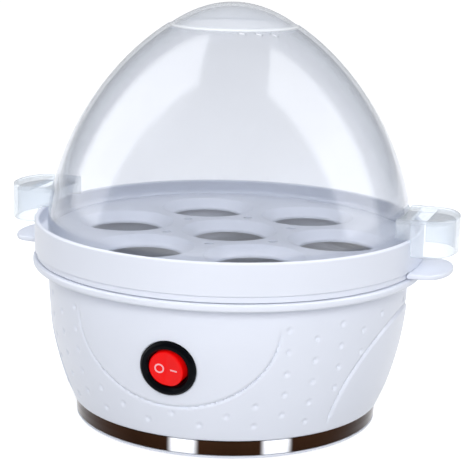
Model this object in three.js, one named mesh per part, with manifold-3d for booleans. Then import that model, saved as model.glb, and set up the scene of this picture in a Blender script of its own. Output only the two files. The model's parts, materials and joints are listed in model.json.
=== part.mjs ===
// Electric egg cooker: a tapered round base with a water pan and heater, an egg rack with seven
// seats, and a clear domed lid with two ears.
// Millimetres, +Z up. The origin is the middle of the base on the table, the switch faces -Y, and
// the ears point along +X and -X.
import * as THREE from "three";
import { mergeVertices } from "three/addons/utils/BufferGeometryUtils.js";
import Module from "manifold-3d";

const wasm = await Module();
wasm.setup();

// ---- Driving dimensions ----------------------------------------------------------------------
const GAP = 0.3;                // clearance between pieces that touch
const OVER = 1.0;               // how far a cutting shape runs past the face it opens
const RIM_R = 82.5;             // outer radius of the egg rack, the widest round part
const SIDES = 40;               // facets round the big turned parts
const MID_SIDES = 16;           // facets round seats, nuts and bosses
const FINE_SIDES = 24;          // facets round the rocker and its body
const PLATE_SIDES = 48;         // facets round the heater plate
const ELEMENT_STEPS = 24;       // lengths of tube round the heating ring
const SMALL_SIDES = 8;          // facets round screws and pins

// Base housing
const HOUSING_WALL = 2.2;
const WALL_TOP_Z = 66.5;        // underside of the flange
const WALL_BOTTOM_Z = 8.8;      // shoulder over the trim ring
const WALL_INSET = 6.0;         // top of the wall inside the rim radius
const WALL_BULGE = 2.6;         // outward swell of the wall just below the flange
const WALL_TAPER = 13.2;        // how far the wall then draws in towards the foot
const WALL_STEPS = 5;
const FLANGE_LIP = 0.7;         // flange bead beyond the rim radius
const FLANGE_H = 3.2;
const FLANGE_EDGE = 0.8;        // chamfer of the flange
const LEDGE_DROP = 1.3;         // depth of the ledge that the pan sits on
const LEDGE_INSET = 0.7;        // edge of the ledge inside the rack's wall
const SPIGOT_INSET = 2.1;       // spigot inside the wall's foot, behind the trim ring
const WALL_STEP = 1.0;          // inner wall runs on below the shoulder

// Foot of the base
const FOOT_H = 2.5;
const FOOT_R = 6.0;
const FOOT_SHOW = 1.2;          // foot below the cover
const COVER_T = 2.0;
const COVER_LIP_H = 1.0;        // cover's lip, under the trim ring
const COVER_SHORT = 0.2;        // cover inside the trim ring's face
const TRIM_T = 0.8;
const FOOT_CIRCLE = 48.0;
const SCREW_CIRCLE = 52.0;
const FOOT_ANGLES = [45, 135, 225, 315];
const SCREW_ANGLES = [15, 165, 195, 345];
const POST_R = 4.2;
const POST_H = 18.0;
const POST_FOOT = 2.0;          // foot of each screw post above the spigot's
const POST_ROOF = 2.0;          // solid top of each post over its screw
const BOSS_WALL = 2.0;          // wall round each foot's and screw's pocket
const FOOT_BOSS_H = 2.0;        // boss over a rubber foot
const AIR_SLOTS = 5;
const AIR_SLOT_STEP = 7.0;
const AIR_SLOT_HALF_L = 9.0;
const AIR_SLOT_HALF_W = 1.2;
const RIB_H = 6.0;              // rib that ties each screw post to the wall
const RIB_T = 2.2;
const SHANK_R = 1.6;
const HEAD_R = 3.4;
const HEAD_H = 1.6;
const HEAD_EDGE = 0.5;
const SCREW_TIP = 1.0;
const COVER_SCREW_SHORT = 3.0;  // cover screw's shank, shorter than its post

// Water pan and heater
const PAN_T = 0.8;
const PAN_FLOOR_R = 50.0;
const PAN_DEPTH = 16.0;         // rim underside down to floor underside
const PAN_STRAIGHT = 6.0;       // upright part of the pan wall
const PAN_KNEE = 1.0;           // bend between the floor's slope and the upright wall
const PAN_RIM_IN = 0.4;         // pan rim inside the ledge
const SEAL_H = 1.0;
const SEAL_IN = 1.0;            // seal's inner edge outside the pan's clearance
const PLATE_R = 44.0;
const PLATE_T = 4.0;
const ELEMENT_R = 34.0;
const ELEMENT_TUBE_R = 3.2;
const ELEMENT_GAP_DEG = 60;     // open part of the heating ring, at the front
const PIN_R = 1.3;
const PIN_L = 9.0;
const PLATE_SKIN = 1.0;         // metal left over each screw hole of the plate
const PLATE_SCREW_END = 2.5;    // plate's top face down to a screw's shank end

// Clamp bridge under the heater
const STUD_R = 2.5;
const STUD_L = 20.0;
const BRIDGE_T = 1.5;
const BRIDGE_W = 14.0;
const BRIDGE_DROP = 12.0;       // plate underside down to the bridge
const BRIDGE_END = 1.5;         // bridge's end inside the lug's
const BRIDGE_SCREW_END = 3.0;   // lug's top down to a screw's shank end
const NUT_R = 4.8;
const NUT_H = 3.0;
const LUG_W = 16.0;
const LUG_H = 6.0;
const LUG_L = 13.0;
const LUG_ROOF = 1.0;           // solid top of each lug over its screw hole

// Thermostat, fuse and terminal block
const THERMO_Y = 18.0;
const THERMO_R = 8.4;
const THERMO_CAP_H = 4.0;
const THERMO_BODY_R = 7.4;
const THERMO_BODY_H = 6.0;
const STRAP_T = 1.0;
const STRAP_HALF_X = 16.0;
const STRAP_HALF_W = 4.0;
const STRAP_RING = 1.0;         // strap around the thermostat beyond its cap
const STRAP_SCREW_X = 12.4;
const FUSE_Y = -17.0;
const FUSE_R = 2.0;
const FUSE_L = 11.0;
const CLIP_HALF_X = 3.0;
const CLIP_H = 5.2;
const CLIP_END = 1.4;           // clip beyond the fuse, away from its screw
const CLIP_SCREW_Y = 5.4;       // clip screw from the fuse's axis
const CLIP_SCREW_MARGIN = 3.6;
const BLOCK_X = 30.0;
const BLOCK_Y = 14.0;
const BLOCK_H = 14.0;
const BLOCK_AT_Y = 30.0;
const POLE_STEP = 9.0;          // spacing of the three poles of the terminal block
const CLAMP_SCREW_R = 2.0;
const CLAMP_SCREW_L = 5.0;
const CLAMP_WELL = 1.0;         // depth of each well beyond its screw
const CLAMP_SLOT_HALF_W = 0.35;
const CLAMP_SLOT_H = 0.9;
const BLOCK_GROOVE_HALF_W = 0.6;
const BLOCK_GROOVE_H = 3.0;
const TERMINAL_W = 4.8;
const TERMINAL_T = 0.8;
const THERMO_TERMINAL_X = 4.0;
const THERMO_TERMINAL_L = 7.0;
const EARTH_TAB_L = 12.0;
const LEAD_R = 1.1;
const LEAD_STUB = 4.0;          // straight start of a lead at its terminal
const BLOCK_STUB = 7.0;         // straight end of a lead at the terminal block

// Rocker switch
const SWITCH_Z = 40.5;
const BEZEL_R = 11.5;
const BEZEL_H = 2.6;
const BEZEL_SINK = 1.0;         // depth of the flat seat in the curved wall
const BEZEL_EDGE_Z = 1.0;       // top of the bezel's upright edge
const BEZEL_BEVEL = 0.5;
const BEZEL_SLOPE = 1.3;        // width of the bezel's sloped rim
const SWITCH_SEAT_H = 5.0;      // the seat is open this far out of the wall
const SWITCH_BOSS = 1.5;        // boss behind the wall, beyond the bezel
const SWITCH_BOSS_Z = -0.4;
const SWITCH_HOLE_Z = -9.0;
const SWITCH_BODY_R = 9.7;
const SWITCH_DEPTH = 15.0;
const SWITCH_WALL = 1.6;
const SWITCH_MOUTH_R = 8.1;
const MOUTH_BEVEL = 0.8;
const ROCKER_R = 7.4;
const ROCKER_FACE_Z = 1.9;      // fold line of the rocker above the seat
const ROCKER_SKIRT_Z = -5.0;
const ROCKER_TILT = 7.5;        // degrees each way from level
const PIVOT_Z = -1.6;
const PIVOT_PIN_R = 0.9;
const STEM_R = 2.6;
const STEM_L = 3.2;
const STEM_BORE_TOP = -3.2;
const ROCKER_WALL = 1.6;
const LAMP_R = 0.9;
const LAMP_HALF_L = 2.2;
const LAMP_X = 4.2;
const SPRING_WIRE_R = 0.2;
const SPRING_TURNS = 4;
const PLUNGER_R = 1.4;
const PLUNGER_TIP_Z = -11.1;
const PLUNGER_L = 4.6;
const PLUNGER_NOSE = 0.9;       // length of the rounded nose
const PLUNGER_BEVEL = 0.2;
const PLUNGER_FLAT = 0.6;       // share of the radius at the nose's end
const LEVER_Z = -12.0;          // pivot of the contact lever
const LEVER_L = 11.0;
const LEVER_W = 4.0;
const LEVER_T = 0.6;
const LEVER_RATIO = 0.6;        // lever turn for each degree of rocker turn
const SWITCH_TERMINAL_X = 5.4;
const SWITCH_TERMINAL_OUT = 7.5;
const CONTACT_GAP = 0.8;        // outer terminals below the level lever

// Egg rack
const RACK_WALL = 2.0;
const RACK_H = 15.9;
const DECK_DROP = 5.9;          // rim top down to the deck
const DECK_T = 1.6;
const SEAT_CIRCLE = 47.0;
const SEAT_R = 20.5;
const SEAT_HOLE_R = 15.5;
const SEAT_DEPTH = 4.5;
const SEAT_WALL = 1.4;
const SEAT_LIP_H = 1.0;         // upright edge of the seat's hole
const STEAM_CIRCLE = 27.1;
const STEAM_R = 2.0;
const LOCATOR_L = 13.0;         // locating skirt below the deck
const LOCATOR_T = 1.6;
const TAB_REACH = 14.0;         // tab tip beyond the rim radius
const TAB_HALF_W = 16.0;
const TAB_T = 2.2;
const TAB_END = 8.5;            // length of the rounded end

// Lid
const LID_WALL = 1.8;
const LID_CHANNEL = 3.5;        // gap between the lid and the rack rim
const LID_SKIRT = 4.5;          // upright part of the lid
const LID_H = 92.8;             // from the top of the skirt to the tip of the curve
const LID_POWER = 1.677;        // power of the superellipse
const LID_STEPS = 10;
const CURVE_END = 2.0;          // last point of the main curve outside the crown
const CROWN_R = 27.5;
const CROWN_STEP = 0.5;
const CROWN_TRIM = 0.9;         // crown's apex below the tip of the curve
const EAR_REACH = 16.0;         // ear tip beyond the rim radius
const EAR_HALF_W = 16.0;
const EAR_H = 15.3;
const EAR_BASE = 0.7;           // ear's lower edge below the deck
const EAR_END = 10.5;
const EAR_RECESS = 0.6;
const SLOT_START = 2.5;         // finger slot inside the rim radius
const SLOT_END = 4.5;           // finger slot beyond the rim radius
const SLOT_SHOULDER = 1.0;      // ear's side wall, thicker beside the finger slot
const EAR_NOTCH_GAP = 0.6;
const EAR_JOINT = 0.1;          // weld line between each ear and the dome
const VENT_R = 2.0;
const VENT_CIRCLE = 36.0;
const VENT_ANGLES = [78, 90, 102];

// Cord gland at the back
const GLAND_Z = 20.0;
const GLAND_R = 5.0;
const GLAND_BORE_R = 3.3;
const GLAND_FLANGE_R = 7.2;
const GLAND_FLANGE_T = 2.0;
const GLAND_NOSE_L = 7.0;
const GLAND_TAPER = 0.8;
const GLAND_BACK_L = 8.0;       // sleeve behind the wall
const GLAND_PAD_R = 9.0;
const GLAND_PAD = 1.2;
const GLAND_PAD_DEPTH = 6.0;    // pad's root inside the wall
const GLAND_HOLE_L = 12.0;      // cut either way from the wall's face

// ---- Levels and radii that follow --------------------------------------------------------------
const COVER_Z = FOOT_SHOW;
const COVER_TOP = COVER_Z + COVER_T;
const SPIGOT_Z = COVER_TOP + GAP;
const FLANGE_TOP = WALL_TOP_Z + FLANGE_H;
const LEDGE_Z = FLANGE_TOP - LEDGE_DROP;
const SEAL_Z = LEDGE_Z + GAP;
const PAN_RIM_Z = SEAL_Z + SEAL_H + GAP;
const PAN_FLOOR_Z = PAN_RIM_Z - PAN_DEPTH;
const PLATE_Z = PAN_FLOOR_Z - GAP - PLATE_T;
const UNDER_PLATE = PLATE_Z - GAP;
const BRIDGE_TOP = PLATE_Z - BRIDGE_DROP;
const LUG_Z = BRIDGE_TOP + GAP;
const RACK_Z = FLANGE_TOP + GAP;
const RIM_TOP = RACK_Z + RACK_H;
const DECK_Z = RIM_TOP - DECK_DROP;
const LID_Z = DECK_Z + GAP;
const SHOULDER_Z = LID_Z + LID_SKIRT;
const EAR_Z = DECK_Z - EAR_BASE;
const EAR_TOP = EAR_Z + EAR_H;

const FLANGE_R = RIM_R + FLANGE_LIP;
const RACK_IN_R = RIM_R - RACK_WALL;
const LEDGE_R = RACK_IN_R - LEDGE_INSET;
const PAN_RIM_R = LEDGE_R - PAN_RIM_IN;
const LID_R = RACK_IN_R - LID_CHANNEL;

function wallRadius(z) {
  const q = (WALL_TOP_Z - z) / (WALL_TOP_Z - WALL_BOTTOM_Z);
  return RIM_R - WALL_INSET + WALL_BULGE * q - WALL_TAPER * q * q;
}
const FOOT_EDGE_R = wallRadius(WALL_BOTTOM_Z);
const SPIGOT_R = FOOT_EDGE_R - SPIGOT_INSET;
const TRIM_IN_R = SPIGOT_R + GAP;
const COVER_R = TRIM_IN_R + TRIM_T - COVER_SHORT;
const PAN_R = wallRadius(WALL_TOP_Z) - HOUSING_WALL - 3 * GAP;
const LOCATOR_R = PAN_R - PAN_T - 2 * GAP;
const LUG_REACH = wallRadius(LUG_Z + LUG_H / 2) - HOUSING_WALL / 2;
const LUG_X = wallRadius(LUG_Z) - HOUSING_WALL - LUG_L;
const BRIDGE_SCREW_X = LUG_X + LUG_L / 2;

// ---- Geometry helpers --------------------------------------------------------------------------
const rad = THREE.MathUtils.degToRad;

// Turned solid from a profile of [radius, height] pairs that runs anticlockwise and closes on
// itself, or starts and ends on the axis.
function turned(profile, sides = SIDES) {
  const points = profile.map(([r, z]) => new THREE.Vector2(r, z));
  return new THREE.LatheGeometry(points, sides).rotateX(Math.PI / 2);
}

function loopTurned(profile, sides = SIDES) {
  return turned([...profile, profile[0]], sides);
}

function rod(radius, z0, z1, x = 0, y = 0, sides = SMALL_SIDES) {
  return turned([[0, z0], [radius, z0], [radius, z1], [0, z1]], sides).translate(x, y, 0);
}

function block(x0, x1, y0, y1, z0, z1) {
  const box = new THREE.BoxGeometry(x1 - x0, y1 - y0, z1 - z0);
  return box.translate((x0 + x1) / 2, (y0 + y1) / 2, (z0 + z1) / 2);
}

function prism(shape, z0, z1, curveSegments = 12) {
  const options = { depth: z1 - z0, bevelEnabled: false, curveSegments };
  return new THREE.ExtrudeGeometry(shape, options).translate(0, 0, z0);
}

// Outline with straight sides and an elliptical end, pointing along +X.
function tongue(x0, xTip, halfWidth, endLength) {
  const shape = new THREE.Shape();
  shape.moveTo(x0, -halfWidth);
  shape.lineTo(xTip - endLength, -halfWidth);
  shape.absellipse(xTip - endLength, 0, endLength, halfWidth, -Math.PI / 2, Math.PI / 2, false);
  shape.lineTo(x0, halfWidth);
  return shape;
}

function circle(radius) {
  const shape = new THREE.Shape();
  return shape.absarc(0, 0, radius, 0, 2 * Math.PI, false);
}

function tube(curve, radius, steps, quarterSides = 2) {
  const curveSegments = 2 * quarterSides;
  const options = { steps, bevelEnabled: false, extrudePath: curve, curveSegments };
  return new THREE.ExtrudeGeometry(circle(radius), options);
}

// Turns a shape made along +Z to point along `direction`, and moves it to `origin`.
function aimed(geometry, origin, direction) {
  const up = new THREE.Vector3(0, 0, 1);
  const turn = new THREE.Quaternion().setFromUnitVectors(up, direction.clone().normalize());
  return geometry.applyQuaternion(turn).translate(origin.x, origin.y, origin.z);
}

function toSolid(geometry) {
  const bare = geometry.clone();
  bare.deleteAttribute("normal");
  bare.deleteAttribute("uv");
  const merged = mergeVertices(bare, 1e-4);
  const triVerts = [];
  for (let i = 0; i < merged.index.count; i += 3) {
    const corners = [0, 1, 2].map((k) => merged.index.getX(i + k));
    if (new Set(corners).size === 3) triVerts.push(...corners);
  }
  const vertProperties = new Float32Array(merged.attributes.position.array);
  return new wasm.Manifold(
    new wasm.Mesh({ numProp: 3, vertProperties, triVerts: new Uint32Array(triVerts) }));
}

function toGeometry(solid) {
  const { vertProperties, triVerts } = solid.getMesh();
  const indexed = new THREE.BufferGeometry();
  indexed.setAttribute("position", new THREE.BufferAttribute(new Float32Array(vertProperties), 3));
  indexed.setIndex([...triVerts]);
  const flat = indexed.toNonIndexed();
  flat.computeVertexNormals();
  return flat;
}

// One geometry from a first shape, the shapes joined to it and the shapes cut from it.
function carve(first, joined = [], removed = []) {
  let solid = toSolid(first);
  for (const shape of joined) solid = solid.add(toSolid(shape));
  for (const shape of removed) solid = solid.subtract(toSolid(shape));
  return toGeometry(solid);
}

const polar = (radius, degrees) =>
  [radius * Math.cos(rad(degrees)), radius * Math.sin(rad(degrees))];

// ---- Materials ---------------------------------------------------------------------------------
const material = (color, roughness, metalness, extra = {}) =>
  new THREE.MeshStandardMaterial({ color, roughness, metalness, ...extra });

const whitePlastic = material(0xe2e6f0, 0.35, 0.0);
const innerPlastic = material(0xd6d9e2, 0.5, 0.0);
const clearPlastic = material(0xdfe8ee, 0.05, 0.0, { transparent: true, opacity: 0.35 });
const steel = material(0xc8c8cc, 0.18, 1.0);
const aluminium = material(0xb8babd, 0.4, 1.0);
const blackPlastic = material(0x0a0a0c, 0.25, 0.0);
const redPlastic = material(0xe60000, 0.2, 0.0);
const brass = material(0xc9a44a, 0.3, 1.0);
const rubber = material(0x2a2a2c, 0.85, 0.0);
const silicone = material(0xd8d4cc, 0.6, 0.0);
const bakelite = material(0x2b1d16, 0.5, 0.0);
const blockPlastic = material(0xf2f0e6, 0.5, 0.0);
const amberGlass = material(0xffa040, 0.1, 0.0);
const greyFoil = material(0x8f9094, 0.45, 0.8);
const whiteSleeve = material(0xf4f2ec, 0.6, 0.0);
const blueSleeve = material(0x2b58a8, 0.6, 0.0);
const brownSleeve = material(0x6b4226, 0.6, 0.0);
const greenSleeve = material(0x5f9a3a, 0.6, 0.0);

// ---- Lid and rack ------------------------------------------------------------------------------
// Superellipse from the top of the skirt to the tip; `inset` moves it inwards by the wall.
function lidCurve(inset) {
  const points = [];
  for (let i = 0; i < LID_STEPS; i += 1) {
    const a = (i / LID_STEPS) * Math.PI / 2;
    const r = (LID_R - inset) * Math.cos(a) ** (2 / LID_POWER);
    const z = SHOULDER_Z + (LID_H - inset) * Math.sin(a) ** (2 / LID_POWER);
    if (r > CROWN_R + CURVE_END) points.push([r, z]);
  }
  return points;
}

function lidHeight(r, inset) {
  const ratio = (r / (LID_R - inset)) ** LID_POWER;
  return SHOULDER_Z + (LID_H - inset) * (1 - ratio) ** (1 / LID_POWER);
}

// Crown: a shallow paraboloid that starts one step below the main curve.
function crownCurve(inset, step) {
  const edge = lidHeight(CROWN_R, inset) - step;
  const apex = SHOULDER_Z + LID_H - CROWN_TRIM - inset;
  return [1, 0.75, 0.5, 0.25, 0].map((s) => [CROWN_R * s, apex - (apex - edge) * s * s]);
}

function lidInside() {
  return [[LID_R - LID_WALL, LID_Z], ...lidCurve(LID_WALL), ...crownCurve(LID_WALL, 0)];
}

// Ear: a hollow tongue with a recessed top plate, open over the rack rim and at the finger slot.
function lidEar(turn) {
  const outline = tongue(LID_R - LID_WALL, RIM_R + EAR_REACH, EAR_HALF_W, EAR_END);
  const inner = tongue(
    0, RIM_R + EAR_REACH - LID_WALL, EAR_HALF_W - LID_WALL, EAR_END - LID_WALL);
  const plateTop = EAR_TOP - EAR_RECESS;
  const plateBottom = plateTop - LID_WALL;
  const slotHalf = EAR_HALF_W - LID_WALL - SLOT_SHOULDER;
  const ear = toSolid(prism(outline, EAR_Z, EAR_TOP))
    .subtract(toSolid(prism(inner, EAR_Z - OVER, plateBottom)))
    .subtract(toSolid(prism(inner, plateTop, EAR_TOP + OVER)))
    .subtract(toSolid(block(RIM_R - SLOT_START, RIM_R + SLOT_END, -slotHalf, slotHalf,
      EAR_Z, EAR_TOP + OVER)))
    .subtract(toSolid(
      rod(RIM_R + EAR_NOTCH_GAP, EAR_Z - OVER, RIM_TOP + EAR_NOTCH_GAP, 0, 0, SIDES)))
    .subtract(toSolid(turned([
      [0, EAR_Z - OVER], [LID_R + EAR_JOINT, EAR_Z - OVER], ...lidOutside(-EAR_JOINT)])));
  return toGeometry(ear.rotate([0, 0, turn]));
}

function lidOutside(inset) {
  return [[LID_R - inset, LID_Z], ...lidCurve(inset), [CROWN_R, lidHeight(CROWN_R, inset)],
    ...crownCurve(inset, CROWN_STEP)];
}

function lidDome() {
  const hollow = [[0, LID_Z - OVER], [LID_R - LID_WALL, LID_Z - OVER], ...lidInside()];
  let lid = toSolid(turned([[0, LID_Z], ...lidOutside(0)])).subtract(toSolid(turned(hollow)));
  for (const angle of VENT_ANGLES) {
    const [x, y] = polar(VENT_CIRCLE, angle);
    lid = lid.subtract(toSolid(rod(VENT_R, SHOULDER_Z + LID_H / 2, SHOULDER_Z + LID_H, x, y)));
  }
  return toGeometry(lid);
}

function seatCentres() {
  const centres = [[0, 0]];
  for (let k = 0; k < 6; k += 1) centres.push(polar(SEAT_CIRCLE, 60 * k));
  return centres;
}

function rackTab(turn) {
  const shape = tongue(RACK_IN_R - TAB_HALF_W, RIM_R + TAB_REACH, TAB_HALF_W, TAB_END);
  const z0 = RACK_Z + GAP;
  return toSolid(prism(shape, z0, z0 + TAB_T))
    .subtract(toSolid(rod(RACK_IN_R + RACK_WALL / 2, z0 - OVER, z0 + TAB_T + OVER, 0, 0, SIDES)))
    .rotate([0, 0, turn]);
}

function eggRack() {
  const under = DECK_Z - DECK_T;
  const round = RACK_WALL / 4;
  const body = loopTurned([
    [RIM_R, RACK_Z], [RIM_R, RIM_TOP - round], [RIM_R - round, RIM_TOP],
    [RACK_IN_R + round, RIM_TOP], [RACK_IN_R, RIM_TOP - round], [RACK_IN_R, DECK_Z], [0, DECK_Z],
    [0, under], [LOCATOR_R - LOCATOR_T, under], [LOCATOR_R - LOCATOR_T, under - LOCATOR_L],
    [LOCATOR_R, under - LOCATOR_L], [LOCATOR_R, under], [RACK_IN_R, under], [RACK_IN_R, RACK_Z]]);
  const floor = DECK_Z - SEAT_DEPTH;
  const cup = (x, y) => turned([
    [0, floor], [SEAT_HOLE_R + SEAT_WALL, floor], [SEAT_R + SEAT_WALL, DECK_Z - DECK_T / 2],
    [0, DECK_Z - DECK_T / 2]], MID_SIDES).translate(x, y, 0);
  const dish = (x, y) => turned([
    [0, floor - OVER], [SEAT_HOLE_R, floor - OVER], [SEAT_HOLE_R, floor + SEAT_LIP_H],
    [SEAT_R, DECK_Z], [SEAT_R, DECK_Z + OVER], [0, DECK_Z + OVER]], MID_SIDES).translate(x, y, 0);
  let rack = toSolid(body).add(rackTab(0)).add(rackTab(180));
  for (const [x, y] of seatCentres()) rack = rack.add(toSolid(cup(x, y)));
  for (const [x, y] of seatCentres()) rack = rack.subtract(toSolid(dish(x, y)));
  for (let k = 0; k < 6; k += 1) {
    const [x, y] = polar(STEAM_CIRCLE, 30 + 60 * k);
    rack = rack.subtract(toSolid(rod(STEAM_R, under - SEAT_DEPTH, DECK_Z + OVER, x, y)));
  }
  return toGeometry(rack);
}

// ---- Base --------------------------------------------------------------------------------------
// Place and lean of the switch: its own frame has +Z out of the wall and +Y up the wall.
const SWITCH_R = wallRadius(SWITCH_Z);
const WALL_LEAN = Math.atan2(wallRadius(SWITCH_Z + 1) - wallRadius(SWITCH_Z - 1), 2);
const switchFrame = new THREE.Matrix4()
  .makeTranslation(0, -SWITCH_R, SWITCH_Z)
  .multiply(new THREE.Matrix4().makeRotationX(Math.PI / 2 + WALL_LEAN))
  .multiply(new THREE.Matrix4().makeTranslation(0, 0, -BEZEL_SINK));

function housingProfile() {
  const outer = [];
  const inner = [];
  for (let i = 0; i <= WALL_STEPS; i += 1) {
    const z = THREE.MathUtils.lerp(WALL_BOTTOM_Z, WALL_TOP_Z, i / WALL_STEPS);
    outer.push([wallRadius(z), z]);
    inner.unshift([wallRadius(z) - HOUSING_WALL, z]);
  }
  const spigotIn = SPIGOT_R - HOUSING_WALL;
  return [
    [SPIGOT_R, SPIGOT_Z], [SPIGOT_R, WALL_BOTTOM_Z], ...outer,
    [FLANGE_R - FLANGE_EDGE, WALL_TOP_Z], [FLANGE_R, WALL_TOP_Z + FLANGE_EDGE],
    [FLANGE_R, FLANGE_TOP - FLANGE_EDGE], [FLANGE_R - FLANGE_EDGE, FLANGE_TOP],
    [LEDGE_R, FLANGE_TOP], [LEDGE_R, LEDGE_Z], [inner[0][0], LEDGE_Z], ...inner.slice(0, -1),
    [spigotIn, WALL_BOTTOM_Z - WALL_STEP], [spigotIn, SPIGOT_Z]];
}

function housing() {
  let shell = toSolid(loopTurned(housingProfile()));
  const postZ = SPIGOT_Z + POST_FOOT;
  const postTop = postZ + POST_H;
  for (const angle of SCREW_ANGLES) {
    const [x, y] = polar(SCREW_CIRCLE, angle);
    const reach = wallRadius(postTop - RIB_H) - HOUSING_WALL / 2;
    const rib = block(SCREW_CIRCLE, reach, -RIB_T / 2, RIB_T / 2, postTop - RIB_H, postTop);
    shell = shell.add(toSolid(rod(POST_R, postZ, postTop, x, y, MID_SIDES)));
    shell = shell.add(toSolid(rib.rotateZ(rad(angle))));
    shell = shell.subtract(toSolid(rod(SHANK_R + GAP, postZ - OVER, postTop - POST_ROOF, x, y)));
  }
  for (const side of [-1, 1]) {
    const reach = [LUG_X * side, LUG_REACH * side].sort((a, b) => a - b);
    shell = shell.add(toSolid(
      block(reach[0], reach[1], -LUG_W / 2, LUG_W / 2, LUG_Z, LUG_Z + LUG_H)));
    shell = shell.subtract(toSolid(
      rod(SHANK_R + GAP, LUG_Z - OVER, LUG_Z + LUG_H - LUG_ROOF, BRIDGE_SCREW_X * side, 0)));
  }
  const atSwitch = (radius, z0, z1) =>
    toSolid(rod(radius, z0, z1, 0, 0, MID_SIDES).applyMatrix4(switchFrame));
  shell = shell.add(atSwitch(BEZEL_R + SWITCH_BOSS, -HOUSING_WALL, SWITCH_BOSS_Z))
    .subtract(atSwitch(BEZEL_R + GAP, 0, SWITCH_SEAT_H))
    .subtract(atSwitch(SWITCH_BODY_R + GAP, SWITCH_HOLE_Z, SWITCH_SEAT_H));
  const backR = wallRadius(GLAND_Z);
  const atBack = (radius, from, to) => toSolid(
    rod(radius, backR + from, backR + to, 0, 0, MID_SIDES).rotateX(-Math.PI / 2)
      .translate(0, 0, GLAND_Z));
  return toGeometry(shell.add(atBack(GLAND_PAD_R, -GLAND_PAD_DEPTH, GLAND_PAD))
    .subtract(atBack(GLAND_FLANGE_R + GAP, GLAND_PAD, GLAND_HOLE_L))
    .subtract(atBack(GLAND_R + GAP, -GLAND_HOLE_L, GLAND_HOLE_L)));
}

function cordGland() {
  const face = wallRadius(GLAND_Z) + GLAND_PAD + GAP;
  const back = face - GLAND_PAD - GLAND_BACK_L;
  const nose = face + GLAND_FLANGE_T + GLAND_NOSE_L;
  return loopTurned([
    [GLAND_BORE_R, back], [GLAND_R, back], [GLAND_R, face], [GLAND_FLANGE_R, face],
    [GLAND_FLANGE_R, face + GLAND_FLANGE_T], [GLAND_R, face + GLAND_FLANGE_T],
    [GLAND_R - GLAND_TAPER, nose], [GLAND_BORE_R, nose]], MID_SIDES)
    .rotateX(-Math.PI / 2).translate(0, 0, GLAND_Z);
}

function trimRing() {
  const z0 = COVER_Z + COVER_LIP_H + GAP;
  const z1 = WALL_BOTTOM_Z - GAP;
  return loopTurned([
    [TRIM_IN_R, z0], [TRIM_IN_R + TRIM_T, z0], [TRIM_IN_R + TRIM_T, z1], [TRIM_IN_R, z1]]);
}

function bottomCover() {
  const lip = COVER_Z + COVER_LIP_H;
  const plate = turned([
    [0, COVER_Z], [COVER_R, COVER_Z], [COVER_R, lip], [SPIGOT_R, lip], [SPIGOT_R, COVER_TOP],
    [0, COVER_TOP]]);
  const joined = [];
  const removed = [];
  for (const angle of FOOT_ANGLES) {
    const [x, y] = polar(FOOT_CIRCLE, angle);
    joined.push(rod(FOOT_R + BOSS_WALL, COVER_TOP - OVER, FOOT_H + FOOT_BOSS_H, x, y, MID_SIDES));
    removed.push(rod(FOOT_R + GAP, COVER_Z - OVER, FOOT_H + GAP, x, y, MID_SIDES));
  }
  for (const angle of SCREW_ANGLES) {
    const [x, y] = polar(SCREW_CIRCLE, angle);
    joined.push(rod(
      HEAD_R + BOSS_WALL, COVER_TOP - OVER, SPIGOT_Z + POST_FOOT - GAP, x, y, MID_SIDES));
    removed.push(rod(HEAD_R + GAP, COVER_Z - OVER, COVER_Z + HEAD_H + GAP, x, y));
    removed.push(rod(SHANK_R + GAP, COVER_Z, SPIGOT_Z + POST_FOOT + OVER, x, y));
  }
  for (let k = 0; k < AIR_SLOTS; k += 1) {
    const y = AIR_SLOT_STEP * (k - (AIR_SLOTS - 1) / 2);
    removed.push(block(-AIR_SLOT_HALF_L, AIR_SLOT_HALF_L, y - AIR_SLOT_HALF_W,
      y + AIR_SLOT_HALF_W, COVER_Z - OVER, COVER_TOP + OVER));
  }
  return carve(plate, joined, removed);
}

function foot([x, y]) {
  return rod(FOOT_R, 0, FOOT_H, x, y, MID_SIDES);
}

// Screw with its head down, the shank pointing up from `z`.
function upScrew(x, y, z, shankLength) {
  return turned([
    [0, z], [HEAD_R - HEAD_EDGE, z], [HEAD_R, z + HEAD_H / 2], [HEAD_R, z + HEAD_H],
    [SHANK_R, z + HEAD_H], [SHANK_R, z + HEAD_H + shankLength],
    [0, z + HEAD_H + shankLength + SCREW_TIP]], SMALL_SIDES).translate(x, y, 0);
}

// ---- Pan and heater ----------------------------------------------------------------------------
function waterPan() {
  const knee = PAN_RIM_Z - PAN_STRAIGHT;
  return turned([
    [0, PAN_FLOOR_Z], [PAN_FLOOR_R, PAN_FLOOR_Z], [PAN_R - PAN_KNEE, knee - PAN_KNEE], [PAN_R, knee],
    [PAN_R, PAN_RIM_Z], [PAN_RIM_R, PAN_RIM_Z], [PAN_RIM_R, PAN_RIM_Z + PAN_T],
    [PAN_R - PAN_T, PAN_RIM_Z + PAN_T], [PAN_R - PAN_T, knee + 0.3 * PAN_KNEE],
    [PAN_R - PAN_KNEE - PAN_T, knee - 0.5 * PAN_KNEE],
    [PAN_FLOOR_R - PAN_T / 2, PAN_FLOOR_Z + PAN_T], [0, PAN_FLOOR_Z + PAN_T]]);
}

function panSeal() {
  const inner = PAN_R + 2 * GAP + SEAL_IN;
  return loopTurned([
    [inner, SEAL_Z], [PAN_RIM_R, SEAL_Z], [PAN_RIM_R, SEAL_Z + SEAL_H],
    [inner, SEAL_Z + SEAL_H]]);
}

function heaterPlate() {
  const spots = [[-STRAP_SCREW_X, THERMO_Y], [STRAP_SCREW_X, THERMO_Y], [0, FUSE_Y + CLIP_SCREW_Y]];
  const top = PLATE_Z + PLATE_T;
  const holes = spots.map(([x, y]) => rod(SHANK_R + GAP, PLATE_Z - OVER, top - PLATE_SKIN, x, y));
  return carve(rod(PLATE_R, PLATE_Z, top, 0, 0, PLATE_SIDES), [], holes);
}

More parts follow.
